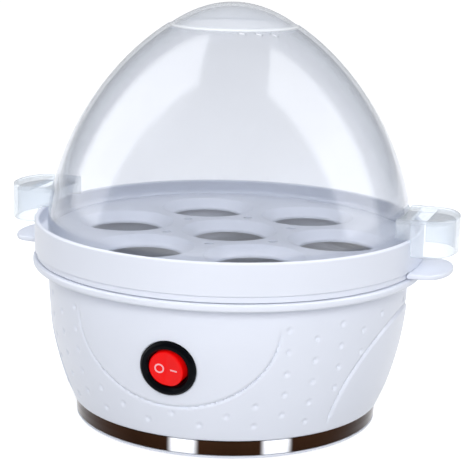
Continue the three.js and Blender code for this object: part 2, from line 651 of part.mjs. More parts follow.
const ELEMENT_Z = UNDER_PLATE - ELEMENT_TUBE_R;
const ELEMENT_START = -90 + ELEMENT_GAP_DEG / 2;

function heatingElement() {
  const arc = new THREE.Curve();
  arc.getPoint = (t, target = new THREE.Vector3()) => {
    const [x, y] = polar(ELEMENT_R, ELEMENT_START + t * (360 - ELEMENT_GAP_DEG));
    return target.set(x, y, ELEMENT_Z);
  };
  return tube(arc, ELEMENT_TUBE_R, ELEMENT_STEPS);
}

// End of the heating ring on one side (+1 or -1 in X) and the way its cold pin points.
function elementEnd(side) {
  const [x, y] = polar(ELEMENT_R, ELEMENT_START);
  const slope = rad(ELEMENT_GAP_DEG / 2);
  return {
    origin: new THREE.Vector3(side * x, y, ELEMENT_Z),
    direction: new THREE.Vector3(-side * Math.cos(slope), -Math.sin(slope), 0),
  };
}

function elementPin(side) {
  const { origin, direction } = elementEnd(side);
  return aimed(rod(PIN_R, GAP, PIN_L), origin, direction);
}

const THERMO_FLANGE_Z = UNDER_PLATE - THERMO_CAP_H;
const THERMO_Z = THERMO_FLANGE_Z - THERMO_BODY_H;
const STRAP_Z = THERMO_FLANGE_Z - GAP - STRAP_T;

function thermostat() {
  return turned([
    [0, THERMO_Z], [THERMO_BODY_R, THERMO_Z], [THERMO_BODY_R, THERMO_FLANGE_Z],
    [THERMO_R, THERMO_FLANGE_Z], [THERMO_R, UNDER_PLATE], [0, UNDER_PLATE],
  ], MID_SIDES).translate(0, THERMO_Y, 0);
}

function thermostatStrap() {
  const ring = rod(THERMO_R + STRAP_RING, STRAP_Z, STRAP_Z + STRAP_T, 0, THERMO_Y, MID_SIDES);
  const y0 = THERMO_Y - STRAP_HALF_W;
  const y1 = THERMO_Y + STRAP_HALF_W;
  const arms = block(-STRAP_HALF_X, STRAP_HALF_X, y0, y1, STRAP_Z, STRAP_Z + STRAP_T);
  const footIn = THERMO_R + GAP;
  const feet = [
    block(footIn, STRAP_HALF_X, y0, y1, STRAP_Z, UNDER_PLATE),
    block(-STRAP_HALF_X, -footIn, y0, y1, STRAP_Z, UNDER_PLATE)];
  const holes = [-1, 1].map((side) =>
    rod(SHANK_R + GAP, STRAP_Z - OVER, UNDER_PLATE + OVER, STRAP_SCREW_X * side, THERMO_Y));
  const middle = rod(
    THERMO_BODY_R + GAP, STRAP_Z - OVER, STRAP_Z + STRAP_T + OVER, 0, THERMO_Y, MID_SIDES);
  return carve(ring, [arms, ...feet], [...holes, middle]);
}

function plateScrew(x, y, seatZ) {
  const z = seatZ - GAP - HEAD_H;
  return upScrew(x, y, z, PLATE_Z + PLATE_T - PLATE_SCREW_END - seatZ + GAP);
}

function thermostatTerminal(side) {
  const x = THERMO_TERMINAL_X * side;
  const top = THERMO_Z - GAP;
  return block(x - TERMINAL_T / 2, x + TERMINAL_T / 2, THERMO_Y - TERMINAL_W / 2,
    THERMO_Y + TERMINAL_W / 2, top - THERMO_TERMINAL_L, top);
}

const FUSE_Z = UNDER_PLATE - FUSE_R - GAP;

function thermalFuse() {
  return rod(FUSE_R, -FUSE_L / 2, FUSE_L / 2).rotateY(Math.PI / 2).translate(0, FUSE_Y, FUSE_Z);
}

function fuseClip() {
  const y0 = FUSE_Y - FUSE_R - CLIP_END;
  const y1 = FUSE_Y + CLIP_SCREW_Y + CLIP_SCREW_MARGIN;
  const body = block(-CLIP_HALF_X, CLIP_HALF_X, y0, y1, UNDER_PLATE - CLIP_H, UNDER_PLATE);
  const half = CLIP_HALF_X + OVER;
  const groove = rod(FUSE_R + GAP, -half, half).rotateY(Math.PI / 2)
    .translate(0, FUSE_Y, FUSE_Z);
  const mouth = block(-half, half, FUSE_Y - FUSE_R - GAP, FUSE_Y + FUSE_R + GAP, FUSE_Z,
    UNDER_PLATE + OVER);
  const hole = rod(SHANK_R + GAP, UNDER_PLATE - CLIP_H - OVER, UNDER_PLATE + OVER, 0,
    FUSE_Y + CLIP_SCREW_Y);
  return carve(body, [], [groove, mouth, hole]);
}

function panStud() {
  return rod(STUD_R, UNDER_PLATE - STUD_L, UNDER_PLATE, 0, 0, MID_SIDES);
}

function clampBridge() {
  const half = LUG_X + LUG_L - BRIDGE_END;
  const z0 = BRIDGE_TOP - BRIDGE_T;
  const strip = block(-half, half, -BRIDGE_W / 2, BRIDGE_W / 2, z0, BRIDGE_TOP);
  const holes = [rod(STUD_R + GAP, z0 - OVER, BRIDGE_TOP + OVER)];
  for (const side of [-1, 1]) {
    holes.push(rod(SHANK_R + GAP, z0 - OVER, BRIDGE_TOP + OVER, BRIDGE_SCREW_X * side, 0));
  }
  return carve(strip, [], holes);
}

const EARTH_TAB_Z = BRIDGE_TOP - BRIDGE_T - GAP - TERMINAL_T;

function earthTab() {
  const top = EARTH_TAB_Z + TERMINAL_T;
  const eye = rod(NUT_R, EARTH_TAB_Z, top, 0, 0, MID_SIDES);
  const blade = block(-TERMINAL_W / 2, TERMINAL_W / 2, 0, EARTH_TAB_L, EARTH_TAB_Z, top);
  const hole = rod(STUD_R + GAP, EARTH_TAB_Z - OVER, top + OVER, 0, 0, MID_SIDES);
  return carve(eye, [blade], [hole]);
}

function bridgeNut() {
  const top = EARTH_TAB_Z - GAP;
  const hole = rod(STUD_R + GAP, top - NUT_H - OVER, top + OVER, 0, 0, MID_SIDES);
  return carve(rod(NUT_R, top - NUT_H, top, 0, 0, 6), [], [hole]);
}

function bridgeScrew(side) {
  const z = BRIDGE_TOP - BRIDGE_T - GAP - HEAD_H;
  return upScrew(BRIDGE_SCREW_X * side, 0, z, LUG_Z + LUG_H - BRIDGE_SCREW_END - z - HEAD_H);
}

// ---- Terminal block ----------------------------------------------------------------------------
const BLOCK_Z = COVER_TOP + GAP;
const BLOCK_TOP = BLOCK_Z + BLOCK_H;
const BLOCK_FACE_Y = BLOCK_AT_Y - BLOCK_Y / 2;

function terminalBlock() {
  const body = block(-BLOCK_X / 2, BLOCK_X / 2, BLOCK_FACE_Y, BLOCK_FACE_Y + BLOCK_Y, BLOCK_Z,
    BLOCK_TOP);
  const wells = [-1, 0, 1].map((pole) =>
    rod(CLAMP_SCREW_R + GAP, BLOCK_TOP - CLAMP_SCREW_L - CLAMP_WELL, BLOCK_TOP + OVER,
      POLE_STEP * pole, BLOCK_AT_Y));
  const grooves = [-0.5, 0.5].map((pole) =>
    block(POLE_STEP * pole - BLOCK_GROOVE_HALF_W, POLE_STEP * pole + BLOCK_GROOVE_HALF_W,
      BLOCK_FACE_Y - OVER, BLOCK_FACE_Y + BLOCK_Y + OVER, BLOCK_TOP - BLOCK_GROOVE_H,
      BLOCK_TOP + OVER));
  return carve(body, [], [...wells, ...grooves]);
}

function clampScrew(pole) {
  const z0 = BLOCK_TOP - CLAMP_SCREW_L - CLAMP_WELL + GAP;
  const slot = block(-CLAMP_SCREW_R, CLAMP_SCREW_R, -CLAMP_SLOT_HALF_W, CLAMP_SLOT_HALF_W,
    CLAMP_SCREW_L - CLAMP_SLOT_H, CLAMP_SCREW_L + OVER);
  return carve(rod(CLAMP_SCREW_R, 0, CLAMP_SCREW_L), [], [slot])
    .translate(POLE_STEP * pole, BLOCK_AT_Y, z0);
}

// ---- Rocker switch, in its own frame: +Z out of the wall, +Y up, Z = 0 at the seat ----------------
const alongY = (geometry) => geometry.rotateX(-Math.PI / 2);

function switchBody() {
  const face = GAP + BEZEL_H;
  const floor = SWITCH_WALL - SWITCH_DEPTH;
  const cup = turned([
    [0, -SWITCH_DEPTH], [SWITCH_BODY_R, -SWITCH_DEPTH], [SWITCH_BODY_R, GAP], [BEZEL_R, GAP],
    [BEZEL_R, GAP + BEZEL_EDGE_Z], [BEZEL_R - BEZEL_BEVEL, face - BEZEL_BEVEL],
    [BEZEL_R - BEZEL_SLOPE, face], [SWITCH_MOUTH_R + MOUTH_BEVEL, face],
    [SWITCH_MOUTH_R, face - MOUTH_BEVEL], [SWITCH_MOUTH_R, floor], [0, floor]], FINE_SIDES);
  const slots = [-1, 0, 1].map((k) => {
    const x = SWITCH_TERMINAL_X * k;
    const halfT = TERMINAL_T / 2 + GAP;
    const halfW = TERMINAL_W / 2 + GAP;
    return block(x - halfT, x + halfT, -halfW, halfW, -SWITCH_DEPTH - OVER, floor + OVER);
  });
  const bore = alongY(rod(PIVOT_PIN_R + GAP, -BEZEL_R, BEZEL_R)).translate(0, 0, PIVOT_Z);
  return carve(cup, [], [...slots, bore]);
}

function rockerPin() {
  const half = SWITCH_BODY_R - GAP;
  return alongY(rod(PIVOT_PIN_R, -half, half));
}

// Rocker about its own pivot, level: two flat facets that meet in a shallow V.
function switchRocker() {
  const fold = ROCKER_FACE_Z - PIVOT_Z;
  const skirt = ROCKER_SKIRT_Z - PIVOT_Z;
  const stemEnd = skirt - STEM_L;
  const reach = ROCKER_R + OVER;
  const rise = reach * Math.tan(rad(ROCKER_TILT));
  const side = new THREE.Shape();
  side.moveTo(-reach, skirt);
  side.lineTo(reach, skirt);
  side.lineTo(reach, fold + rise);
  side.lineTo(0, fold);
  side.lineTo(-reach, fold + rise);
  const wedge = toSolid(prism(side, -reach, reach).rotateX(Math.PI / 2));
  const hollow = toSolid(
    rod(ROCKER_R - ROCKER_WALL, skirt - OVER, fold - ROCKER_WALL, 0, 0, FINE_SIDES));
  const stem = toSolid(rod(STEM_R, stemEnd, fold - ROCKER_WALL / 2, 0, 0, MID_SIDES));
  const well = toSolid(rod(PLUNGER_R + GAP, stemEnd - OVER, STEM_BORE_TOP - PIVOT_Z));
  const bore = toSolid(alongY(rod(PIVOT_PIN_R + GAP, -BEZEL_R, BEZEL_R)));
  const body = toSolid(
    rod(ROCKER_R, skirt - OVER, fold + rise + OVER, 0, 0, FINE_SIDES)).intersect(wedge);
  return toGeometry(body.subtract(hollow).add(stem).subtract(well).subtract(bore));
}

function indicatorLamp() {
  return alongY(rod(LAMP_R, -LAMP_HALF_L, LAMP_HALF_L)).translate(LAMP_X, 0, -LAMP_R);
}

const PLUNGER_TOP = PLUNGER_TIP_Z + PLUNGER_L;

function plunger() {
  const tip = PLUNGER_TIP_Z - PIVOT_Z;
  return turned([
    [0, tip], [PLUNGER_R * PLUNGER_FLAT, tip + PLUNGER_BEVEL], [PLUNGER_R, tip + PLUNGER_NOSE],
    [PLUNGER_R, tip + PLUNGER_L], [0, tip + PLUNGER_L]], SMALL_SIDES);
}

function plungerSpring() {
  const z0 = PLUNGER_TOP + GAP + SPRING_WIRE_R - PIVOT_Z;
  const z1 = STEM_BORE_TOP - GAP - SPRING_WIRE_R - PIVOT_Z;
  const coilR = PLUNGER_R - SPRING_WIRE_R;
  const helix = new THREE.Curve();
  helix.getPoint = (t, target = new THREE.Vector3()) => {
    const [x, y] = polar(coilR, 360 * SPRING_TURNS * t);
    return target.set(x, y, THREE.MathUtils.lerp(z0, z1, t));
  };
  return tube(helix, SPRING_WIRE_R, 8 * SPRING_TURNS, 1.5);
}

// Contact lever about its own pivot, level.
function contactLever() {
  return block(-LEVER_L / 2, LEVER_L / 2, -LEVER_W / 2, LEVER_W / 2, -LEVER_T / 2, LEVER_T / 2);
}

function switchTerminal(k) {
  const x = SWITCH_TERMINAL_X * k;
  const top = LEVER_Z - LEVER_T / 2 - (k === 0 ? GAP : CONTACT_GAP);
  return block(x - TERMINAL_T / 2, x + TERMINAL_T / 2, -TERMINAL_W / 2, TERMINAL_W / 2,
    -SWITCH_DEPTH - SWITCH_TERMINAL_OUT, top);
}

// ---- Internal leads ----------------------------------------------------------------------------
// Point of the switch's own frame, in the frame of the whole object.
const switchPoint = (x, z) => new THREE.Vector3(x, 0, z).applyMatrix4(switchFrame);

function lead(points) {
  const route = points.map((p) => (Array.isArray(p) ? new THREE.Vector3(...p) : p));
  return tube(new THREE.CatmullRomCurve3(route, false, "centripetal"), LEAD_R, 2 * route.length);
}

function switchLeadStart(k) {
  const x = SWITCH_TERMINAL_X * k;
  const end = -SWITCH_DEPTH - SWITCH_TERMINAL_OUT - GAP;
  return [switchPoint(x, end), switchPoint(x, end - LEAD_STUB)];
}

function blockLeadEnd(x, height) {
  const z = BLOCK_Z + height;
  return [[x, BLOCK_FACE_Y - BLOCK_STUB, z], [x, BLOCK_FACE_Y - GAP, z]];
}

function pinLeadStart(side) {
  const { origin, direction } = elementEnd(side);
  return [PIN_L + GAP, PIN_L + LEAD_STUB].map((d) => origin.clone().addScaledVector(direction, d));
}

function thermoLeadStart(side) {
  const x = THERMO_TERMINAL_X * side;
  const z = THERMO_Z - THERMO_TERMINAL_L - 2 * GAP;
  return [[x, THERMO_Y, z], [x, THERMO_Y, z - LEAD_STUB]];
}

function fuseLeadStart(side) {
  const x = (FUSE_L / 2 + GAP) * side;
  return [[x, FUSE_Y, FUSE_Z], [x + LEAD_STUB * side, FUSE_Y, FUSE_Z]];
}

const leadLive = () => lead([
  ...switchLeadStart(-1), [-9, -32, 26], [-11, 0, 12], ...blockLeadEnd(-POLE_STEP, 5)]);
const leadLamp = () => lead([
  ...switchLeadStart(1), [9, -32, 26], [10, 0, 12], ...blockLeadEnd(POLE_STEP - 2, 4)]);
const leadSwitched = () => lead([
  ...switchLeadStart(0), [-6, -30, 32], [-15, -8, 26], [-12, 8, 24],
  ...thermoLeadStart(-1).reverse()]);
const leadThermostat = () => lead([
  ...thermoLeadStart(1), [14, 6, 25], [20, -6, 30], [17, -14, 42],
  ...fuseLeadStart(1).reverse()]);
const leadFuse = () => lead([
  ...fuseLeadStart(-1), [-8, -23, 45], [-1, -30, 44], [0, -36.5, 45],
  ...pinLeadStart(-1).reverse()]);
const leadNeutral = () => lead([
  ...pinLeadStart(1), [12, -40, 42], [24, -34, 28], [24, 0, 14],
  ...blockLeadEnd(POLE_STEP + 2, 9)]);
const leadEarth = () => lead([
  [0, EARTH_TAB_L + GAP, EARTH_TAB_Z + TERMINAL_T / 2], [0, EARTH_TAB_L + LEAD_STUB, EARTH_TAB_Z],
  [0, THERMO_Y + 1, 24], [0, THERMO_Y - 2, 14], ...blockLeadEnd(0, 6)]);

// ---- Assembly ----------------------------------------------------------------------------------
const eggCooker = new THREE.Group();

function add(name, geometry, look, parent = eggCooker) {
  const mesh = new THREE.Mesh(geometry, look);
  mesh.name = name;
  parent.add(mesh);
}

add("lid_dome", lidDome(), clearPlastic);
add("lid_ear_right", lidEar(0), clearPlastic);
add("lid_ear_left", lidEar(180), clearPlastic);
add("egg_rack", eggRack(), whitePlastic);
add("housing", housing(), whitePlastic);
add("trim_ring", trimRing(), steel);
add("bottom_cover", bottomCover(), innerPlastic);
FOOT_ANGLES.forEach((angle, i) => add(`foot_${i + 1}`, foot(polar(FOOT_CIRCLE, angle)), rubber));
SCREW_ANGLES.forEach((angle, i) => {
  const [x, y] = polar(SCREW_CIRCLE, angle);
  add(`bottom_screw_${i + 1}`, upScrew(x, y, COVER_Z + GAP, POST_H - COVER_SCREW_SHORT), steel);
});
add("cord_gland", cordGland(), blackPlastic);

add("water_pan", waterPan(), steel);
add("pan_seal", panSeal(), silicone);
add("heater_plate", heaterPlate(), aluminium);
add("heating_element", heatingElement(), greyFoil);
add("element_pin_1", elementPin(1), steel);
add("element_pin_2", elementPin(-1), steel);
add("thermostat", thermostat(), bakelite);
add("thermostat_strap", thermostatStrap(), steel);
[-1, 1].forEach((side, i) => {
  add(`thermostat_screw_${i + 1}`, plateScrew(STRAP_SCREW_X * side, THERMO_Y, STRAP_Z), steel);
  add(`thermostat_terminal_${i + 1}`, thermostatTerminal(side), brass);
});
add("thermal_fuse", thermalFuse(), greyFoil);
add("fuse_clip", fuseClip(), aluminium);
add("fuse_screw", plateScrew(0, FUSE_Y + CLIP_SCREW_Y, UNDER_PLATE - CLIP_H), steel);
add("pan_stud", panStud(), steel);
add("clamp_bridge", clampBridge(), steel);
add("earth_tab", earthTab(), brass);
add("bridge_nut", bridgeNut(), steel);
[-1, 1].forEach((side, i) => add(`bridge_screw_${i + 1}`, bridgeScrew(side), steel));
add("terminal_block", terminalBlock(), blockPlastic);
[-1, 0, 1].forEach((pole, i) => add(`clamp_screw_${i + 1}`, clampScrew(pole), brass));

const rockerSwitch = new THREE.Group();
rockerSwitch.applyMatrix4(switchFrame);
eggCooker.add(rockerSwitch);
add("switch_body", switchBody(), blackPlastic, rockerSwitch);
[-1, 0, 1].forEach((k, i) => add(`switch_terminal_${i + 1}`, switchTerminal(k), brass, rockerSwitch));

const pivot = new THREE.Group();
pivot.position.set(0, 0, PIVOT_Z);
rockerSwitch.add(pivot);
add("rocker_pin", rockerPin(), steel, pivot);

const rocker = new THREE.Group();
rocker.rotation.y = -rad(ROCKER_TILT);
pivot.add(rocker);
add("switch_rocker", switchRocker(), redPlastic, rocker);
add("indicator_lamp", indicatorLamp(), amberGlass, rocker);
add("plunger", plunger(), brass, rocker);
add("plunger_spring", plungerSpring(), steel, rocker);

const lever = new THREE.Group();
lever.position.set(0, 0, LEVER_Z);
lever.rotation.y = rad(ROCKER_TILT * LEVER_RATIO);
rockerSwitch.add(lever);
add("contact_lever", contactLever(), brass, lever);

add("lead_live", leadLive(), brownSleeve);
add("lead_lamp", leadLamp(), blueSleeve);
add("lead_switched", leadSwitched(), brownSleeve);
add("lead_thermostat", leadThermostat(), whiteSleeve);
add("lead_fuse", leadFuse(), whiteSleeve);
add("lead_neutral", leadNeutral(), blueSleeve);
add("lead_earth", leadEarth(), greenSleeve);

export default eggCooker;
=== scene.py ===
import json
import math

import bmesh
import bpy
import numpy as np
from bpy.props import FloatProperty, FloatVectorProperty, IntProperty, PointerProperty
from mathutils import Matrix, Vector


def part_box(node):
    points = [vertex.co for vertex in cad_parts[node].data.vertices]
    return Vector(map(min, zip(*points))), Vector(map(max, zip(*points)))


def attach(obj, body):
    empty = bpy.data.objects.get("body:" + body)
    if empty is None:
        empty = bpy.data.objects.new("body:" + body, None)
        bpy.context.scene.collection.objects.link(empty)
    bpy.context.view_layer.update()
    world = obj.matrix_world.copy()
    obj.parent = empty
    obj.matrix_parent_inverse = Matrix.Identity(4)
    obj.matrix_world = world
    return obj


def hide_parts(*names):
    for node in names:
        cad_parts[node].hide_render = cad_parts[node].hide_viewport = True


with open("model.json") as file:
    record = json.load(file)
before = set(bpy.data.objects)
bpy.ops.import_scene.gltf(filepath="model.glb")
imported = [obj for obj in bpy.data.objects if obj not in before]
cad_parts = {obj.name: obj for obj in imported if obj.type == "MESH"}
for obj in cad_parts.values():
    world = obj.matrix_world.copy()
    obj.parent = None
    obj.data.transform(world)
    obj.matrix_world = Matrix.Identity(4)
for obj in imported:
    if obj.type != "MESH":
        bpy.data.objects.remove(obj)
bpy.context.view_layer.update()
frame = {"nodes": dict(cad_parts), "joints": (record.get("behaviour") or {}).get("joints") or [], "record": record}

bl_info = {
    "name": "Egg Cooker Builder",
    "version": (1, 0, 0),
    "blender": (4, 5, 0),
    "location": "View3D > Sidebar > Egg Cooker",
    "description": "Builds the surfaces, materials and stage of an electric egg cooker",
    "category": "Add Mesh",
}

MM = 0.001


# ---- Places taken from the frame ----
def low(node):
    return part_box(node)[0]


def high(node):
    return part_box(node)[1]


def span(node):
    """Foot, top and outer radius of a round node, in millimetres."""
    return low(node).z / MM, high(node).z / MM, high(node).y / MM


def joint(name):
    return next(j for j in frame["joints"] if j["name"] == name)


PIVOT = Vector(joint("rocker_tilt")["pos_m"])
SWITCH_UP = Vector(joint("rocker_tilt")["axis"]).normalized()
SWITCH_OUT = Vector((1, 0, 0)).cross(SWITCH_UP)
ROCKER_TURN = math.radians(joint("rocker_tilt")["range_deg"][1] / 2)
SLOTS = {row["node"]: row["material_slot"] for row in frame["record"]["subparts"]}

FLANGE_TOP = high("housing").z
FLANGE_RADIUS = high("housing").y
FLANGE_FOOT = FLANGE_TOP - 3.2 * MM
WALL_FOOT = high("trim_ring").z + 0.3 * MM
LID_FOOT = low("lid_dome").z
CROWN_EDGE = high("lid_dome").z - 9.2 * MM
CROWN_HIGHLIGHT_RING = 0.7 * MM  # height of the painted highlight ring round the crown, drawn in extra milk
VENT_BEARINGS = (78, 90, 102)  # degrees, of the vents at the lid's back
GLAND_REACH = 9 * MM  # from the housing's pad to the gland's nose

# The wall's plain panels. BOWL and ARCH hold the height of an ellipse's middle, its half width
# and its half height, and the fades hold the heights over which its edge dies out.
BOWL, BOWL_FADE = (58 * MM, 43 * MM, 34.2 * MM), (50 * MM, 60 * MM)
ARCH, ARCH_FADE = (12 * MM, 45.2 * MM, 42 * MM), (11 * MM, 18 * MM)
PANEL_REACH = 74 * MM  # radius that turns a bearing into a width
PANEL_STEP = (-1.2 * MM, 0.4 * MM)  # from full rise to none, across a panel's edge
GROOVE_PLACE, GROOVE_WIDTH = 0.3 * MM, 0.42 * MM
DIMPLE_CLEARANCE = 2.6 * MM  # from a panel's edge to a dimple's middle
DIMPLE_ROWS = 5

# Painted reflections: bright streaks on the foot band, bearing of the middle and half width, in degrees
TRIM_REFLECTION_STREAKS = ((2.5, 4.75), (36.3, 5.0), (110, 9), (150, 6), (-95, 8), (-140, 9))
REFLECTION_STREAK_EDGE = 1.5  # degrees that a streak's edge is soft over, either way

STAGE_RADIUS, STAGE_HEIGHT = 14, 9
STAGE_MIDDLE = (0, 0, 0.09)  # what the lamps point at


# ---- Profiles, grids and meshes ----
def smooth(low_edge, high_edge, value):
    """0 below the low edge and 1 above the high edge, with the curve 3t^2 - 2t^3 between."""
    t = np.clip((value - low_edge) / (high_edge - low_edge), 0, 1)
    return t * t * (3 - 2 * t)


def rounded(corners, steps=5):
    """Outline from (x, y, radius) corners in millimetres: each corner becomes an arc tangent to
    both of its sides, with a guard point past each end of it so that the flats shade flat."""
    spots = np.array([corner[:2] for corner in corners], float)
    out = []
    for k, (_, _, radius) in enumerate(corners):
        p = spots[k]
        if radius <= 0:
            out.append(p)
            continue
        before, after = spots[k - 1] - p, spots[(k + 1) % len(spots)] - p
        len_a, len_b = np.linalg.norm(before), np.linalg.norm(after)
        a, b = before / len_a, after / len_b
        half = math.acos(float(np.clip(a @ b, -1, 1))) / 2
        cut = min(radius / math.tan(half), 0.45 * len_a, 0.45 * len_b)
        centre = p + (a + b) / np.linalg.norm(a + b) * cut / math.cos(half)
        start, end = p + a * cut - centre, p + b * cut - centre
        turn = math.copysign(math.pi - 2 * half, start[0] * end[1] - start[1] * end[0])
        out.append(p + a * min(1.3 * cut, 0.48 * len_a))
        for t in np.linspace(0, turn, steps + 1):
            c, s = math.cos(t), math.sin(t)
            out.append(centre + [c * start[0] - s * start[1], s * start[0] + c * start[1]])
        out.append(p + b * min(1.3 * cut, 0.48 * len_b))
    return np.array(out) * MM


def plate(x0, x1, y0, y1, radius, steps):
    """Outline of a rectangle with rounded corners, in millimetres."""
    return rounded([(x0, y0, radius), (x1, y0, radius), (x1, y1, radius), (x0, y1, radius)],
                   steps)


def ring(radius, count, x=0.0, y=0.0):
    """Points of a circle, anticlockwise."""
    a = np.linspace(0, 2 * math.pi, count, endpoint=False)
    return np.stack([x + radius * np.cos(a), y + radius * np.sin(a)], axis=1)


def tongue(start, tip, half_width, end_length, steps=40):
    """Outline with straight sides that ends in half an ellipse, pointing along +X."""
    a = np.linspace(-math.pi / 2, math.pi / 2, steps)
    end = np.stack([tip - end_length + end_length * np.cos(a), half_width * np.sin(a)], axis=1)
    return np.concatenate([[[start, -half_width]], end, [[start, half_width]]])


def grid_faces(rows, cols, wrap_rows, wrap_cols):
    """Quads of a rows x cols grid of points, joined end to end in each direction that wraps."""
    i = np.arange(rows if wrap_rows else rows - 1)
    j = np.arange(cols if wrap_cols else cols - 1)
    i, j = (a.ravel() for a in np.meshgrid(i, j, indexing="ij"))
    i2, j2 = (i + 1) % rows, (j + 1) % cols
    return np.stack([i * cols + j, i * cols + j2, i2 * cols + j2, i2 * cols + j], axis=1)


def shade_smooth(mesh, sharp):
    """Smooth faces, with the edges that bend more than the given degrees kept sharp."""
    mesh.polygons.foreach_set("use_smooth", np.ones(len(mesh.polygons), bool))
    mesh.set_sharp_from_angle(angle=math.radians(sharp))
    mesh.update()


def piece_from(name, points, faces, sharp=40.0):
    """Object from an (n, 3) array of points and a list of faces, with doubles merged."""
    mesh = bpy.data.meshes.new(name)
    mesh.from_pydata(points, [], faces)
    shape = bmesh.new()
    shape.from_mesh(mesh)
    bmesh.ops.remove_doubles(shape, verts=shape.verts, dist=1e-6)
    bmesh.ops.dissolve_degenerate(shape, edges=shape.edges, dist=1e-7)
    shape.to_mesh(mesh)
    shape.free()
    shade_smooth(mesh, sharp)
    piece = bpy.data.objects.new(name, mesh)
    bpy.context.scene.collection.objects.link(piece)
    return piece


def surface(name, grid, wrap_rows=True, wrap_cols=True, sharp=40.0):
    """Object from a (rows, cols, 3) array of points."""
    faces = grid_faces(*grid.shape[:2], wrap_rows, wrap_cols)
    return piece_from(name, grid.reshape(-1, 3), faces, sharp)


def turned(name, profile, sides=192, closed=True, sharp=40.0):
    """Surface of revolution about Z: the point (r, z) of the profile at angle a lies at
    (r sin a, -r cos a, z). The profile runs anticlockwise, so that faces point outwards."""
    a = np.linspace(0, 2 * math.pi, sides, endpoint=False)
    r, z = profile[:, :1], profile[:, 1:]
    grid = np.stack([r * np.sin(a), -r * np.cos(a), z + 0 * a], axis=-1)
    return surface(name, grid, closed, True, sharp)


def slab(name, outline, bottom, top, edge=0.0, steps=4):
    """Plate over an anticlockwise outline: rings of it draw in along its normals by
    edge (1 - cos t) while the height follows edge sin t, and flat caps close it."""
    along = np.roll(outline, -1, axis=0) - np.roll(outline, 1, axis=0)
    normal = np.stack([along[:, 1], -along[:, 0]], axis=1)
    normal /= np.linalg.norm(normal, axis=1, keepdims=True)
    t = np.linspace(0, math.pi / 2, steps + 1) if edge else np.zeros(1)
    inset = np.concatenate([edge * (1 - np.sin(t)), edge * (1 - np.cos(t))])
    height = np.concatenate([bottom + edge * (1 - np.cos(t)), top - edge * (1 - np.sin(t))])
    flat = outline[None] - inset[:, None, None] * normal[None]
    rows, cols = len(inset), len(outline)
    grid = np.concatenate([flat, np.broadcast_to(height[:, None, None], (rows, cols, 1))], axis=2)
    faces = grid_faces(rows, cols, False, True).tolist()
    last = (rows - 1) * cols
    faces += [list(range(cols))[::-1], list(range(last, last + cols))]
    return piece_from(name, grid.reshape(-1, 3), faces)


def placed(piece, matrix):
    """Moves a piece's mesh and leaves its object at the origin."""
    piece.data.transform(matrix)
    return piece


def shifted(piece, x=0.0, y=0.0, z=0.0):
    return placed(piece, Matrix.Translation((x, y, z)))


def combine(piece, operation, tools, sharp=40.0):
    """Joins tools to a piece (UNION) or cuts them out of it (DIFFERENCE), and removes them."""
    for tool in tools:
        step = piece.modifiers.new("step", "BOOLEAN")
        step.object, step.operation, step.solver = tool, operation, "EXACT"
    seen = piece.evaluated_get(bpy.context.evaluated_depsgraph_get())
    result = bpy.data.meshes.new_from_object(seen)
    piece.modifiers.clear()
    used = [piece.data, *(tool.data for tool in tools)]
    piece.data = result
    for tool in tools:
        bpy.data.objects.remove(tool)
    for mesh in used:
        bpy.data.meshes.remove(mesh)
    shade_smooth(result, sharp)
    return piece


def peg(radius, bottom, top, x=0.0, y=0.0, sides=64):
    """Plain round tool for cutting holes."""
    return slab("tool", ring(radius, sides, x, y), bottom, top)


def mount(piece, body, slot, *nodes, look=None):
    """Gives a new piece its material, made from the look if one is given and else from the record slot, puts it on
    its body and hides the CAD nodes that it stands for.
    """
    piece.data.materials.clear()
    piece.data.materials.append(finish(look or slot))
    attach(piece, body)
    if nodes:
        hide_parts(*nodes)
    return piece


# ---- Shader expressions ----
class Wire:
    """A shader socket for use in expressions: each operator adds a Math node."""

    def __init__(self, paint, socket):
        self.paint = paint
        self.socket = socket

    def math(self, operation, *values):
        return self.paint.node("ShaderNodeMath", {"operation": operation}, *values)

    def __add__(self, other):
        return self.math("ADD", self, other)

    def __sub__(self, other):
        return self.math("SUBTRACT", self, other)

    def __rsub__(self, other):
        return self.math("SUBTRACT", other, self)

    def __mul__(self, other):
        return self.math("MULTIPLY", self, other)

    def __pow__(self, other):
        return self.math("POWER", self, other)

    def __abs__(self):
        return self.math("ABSOLUTE", self)

    __radd__ = __add__
    __rmul__ = __mul__

    def clamp(self):
        return self.math("MINIMUM", self.math("MAXIMUM", self, 0.0), 1.0)

    def step(self, low_edge, high_edge):
        """0 below the low edge, 1 above the high edge, smooth between."""
        return self.paint.node("ShaderNodeMapRange", {"interpolation_type": "SMOOTHSTEP"}, self,
                               low_edge, high_edge, 0.0, 1.0)


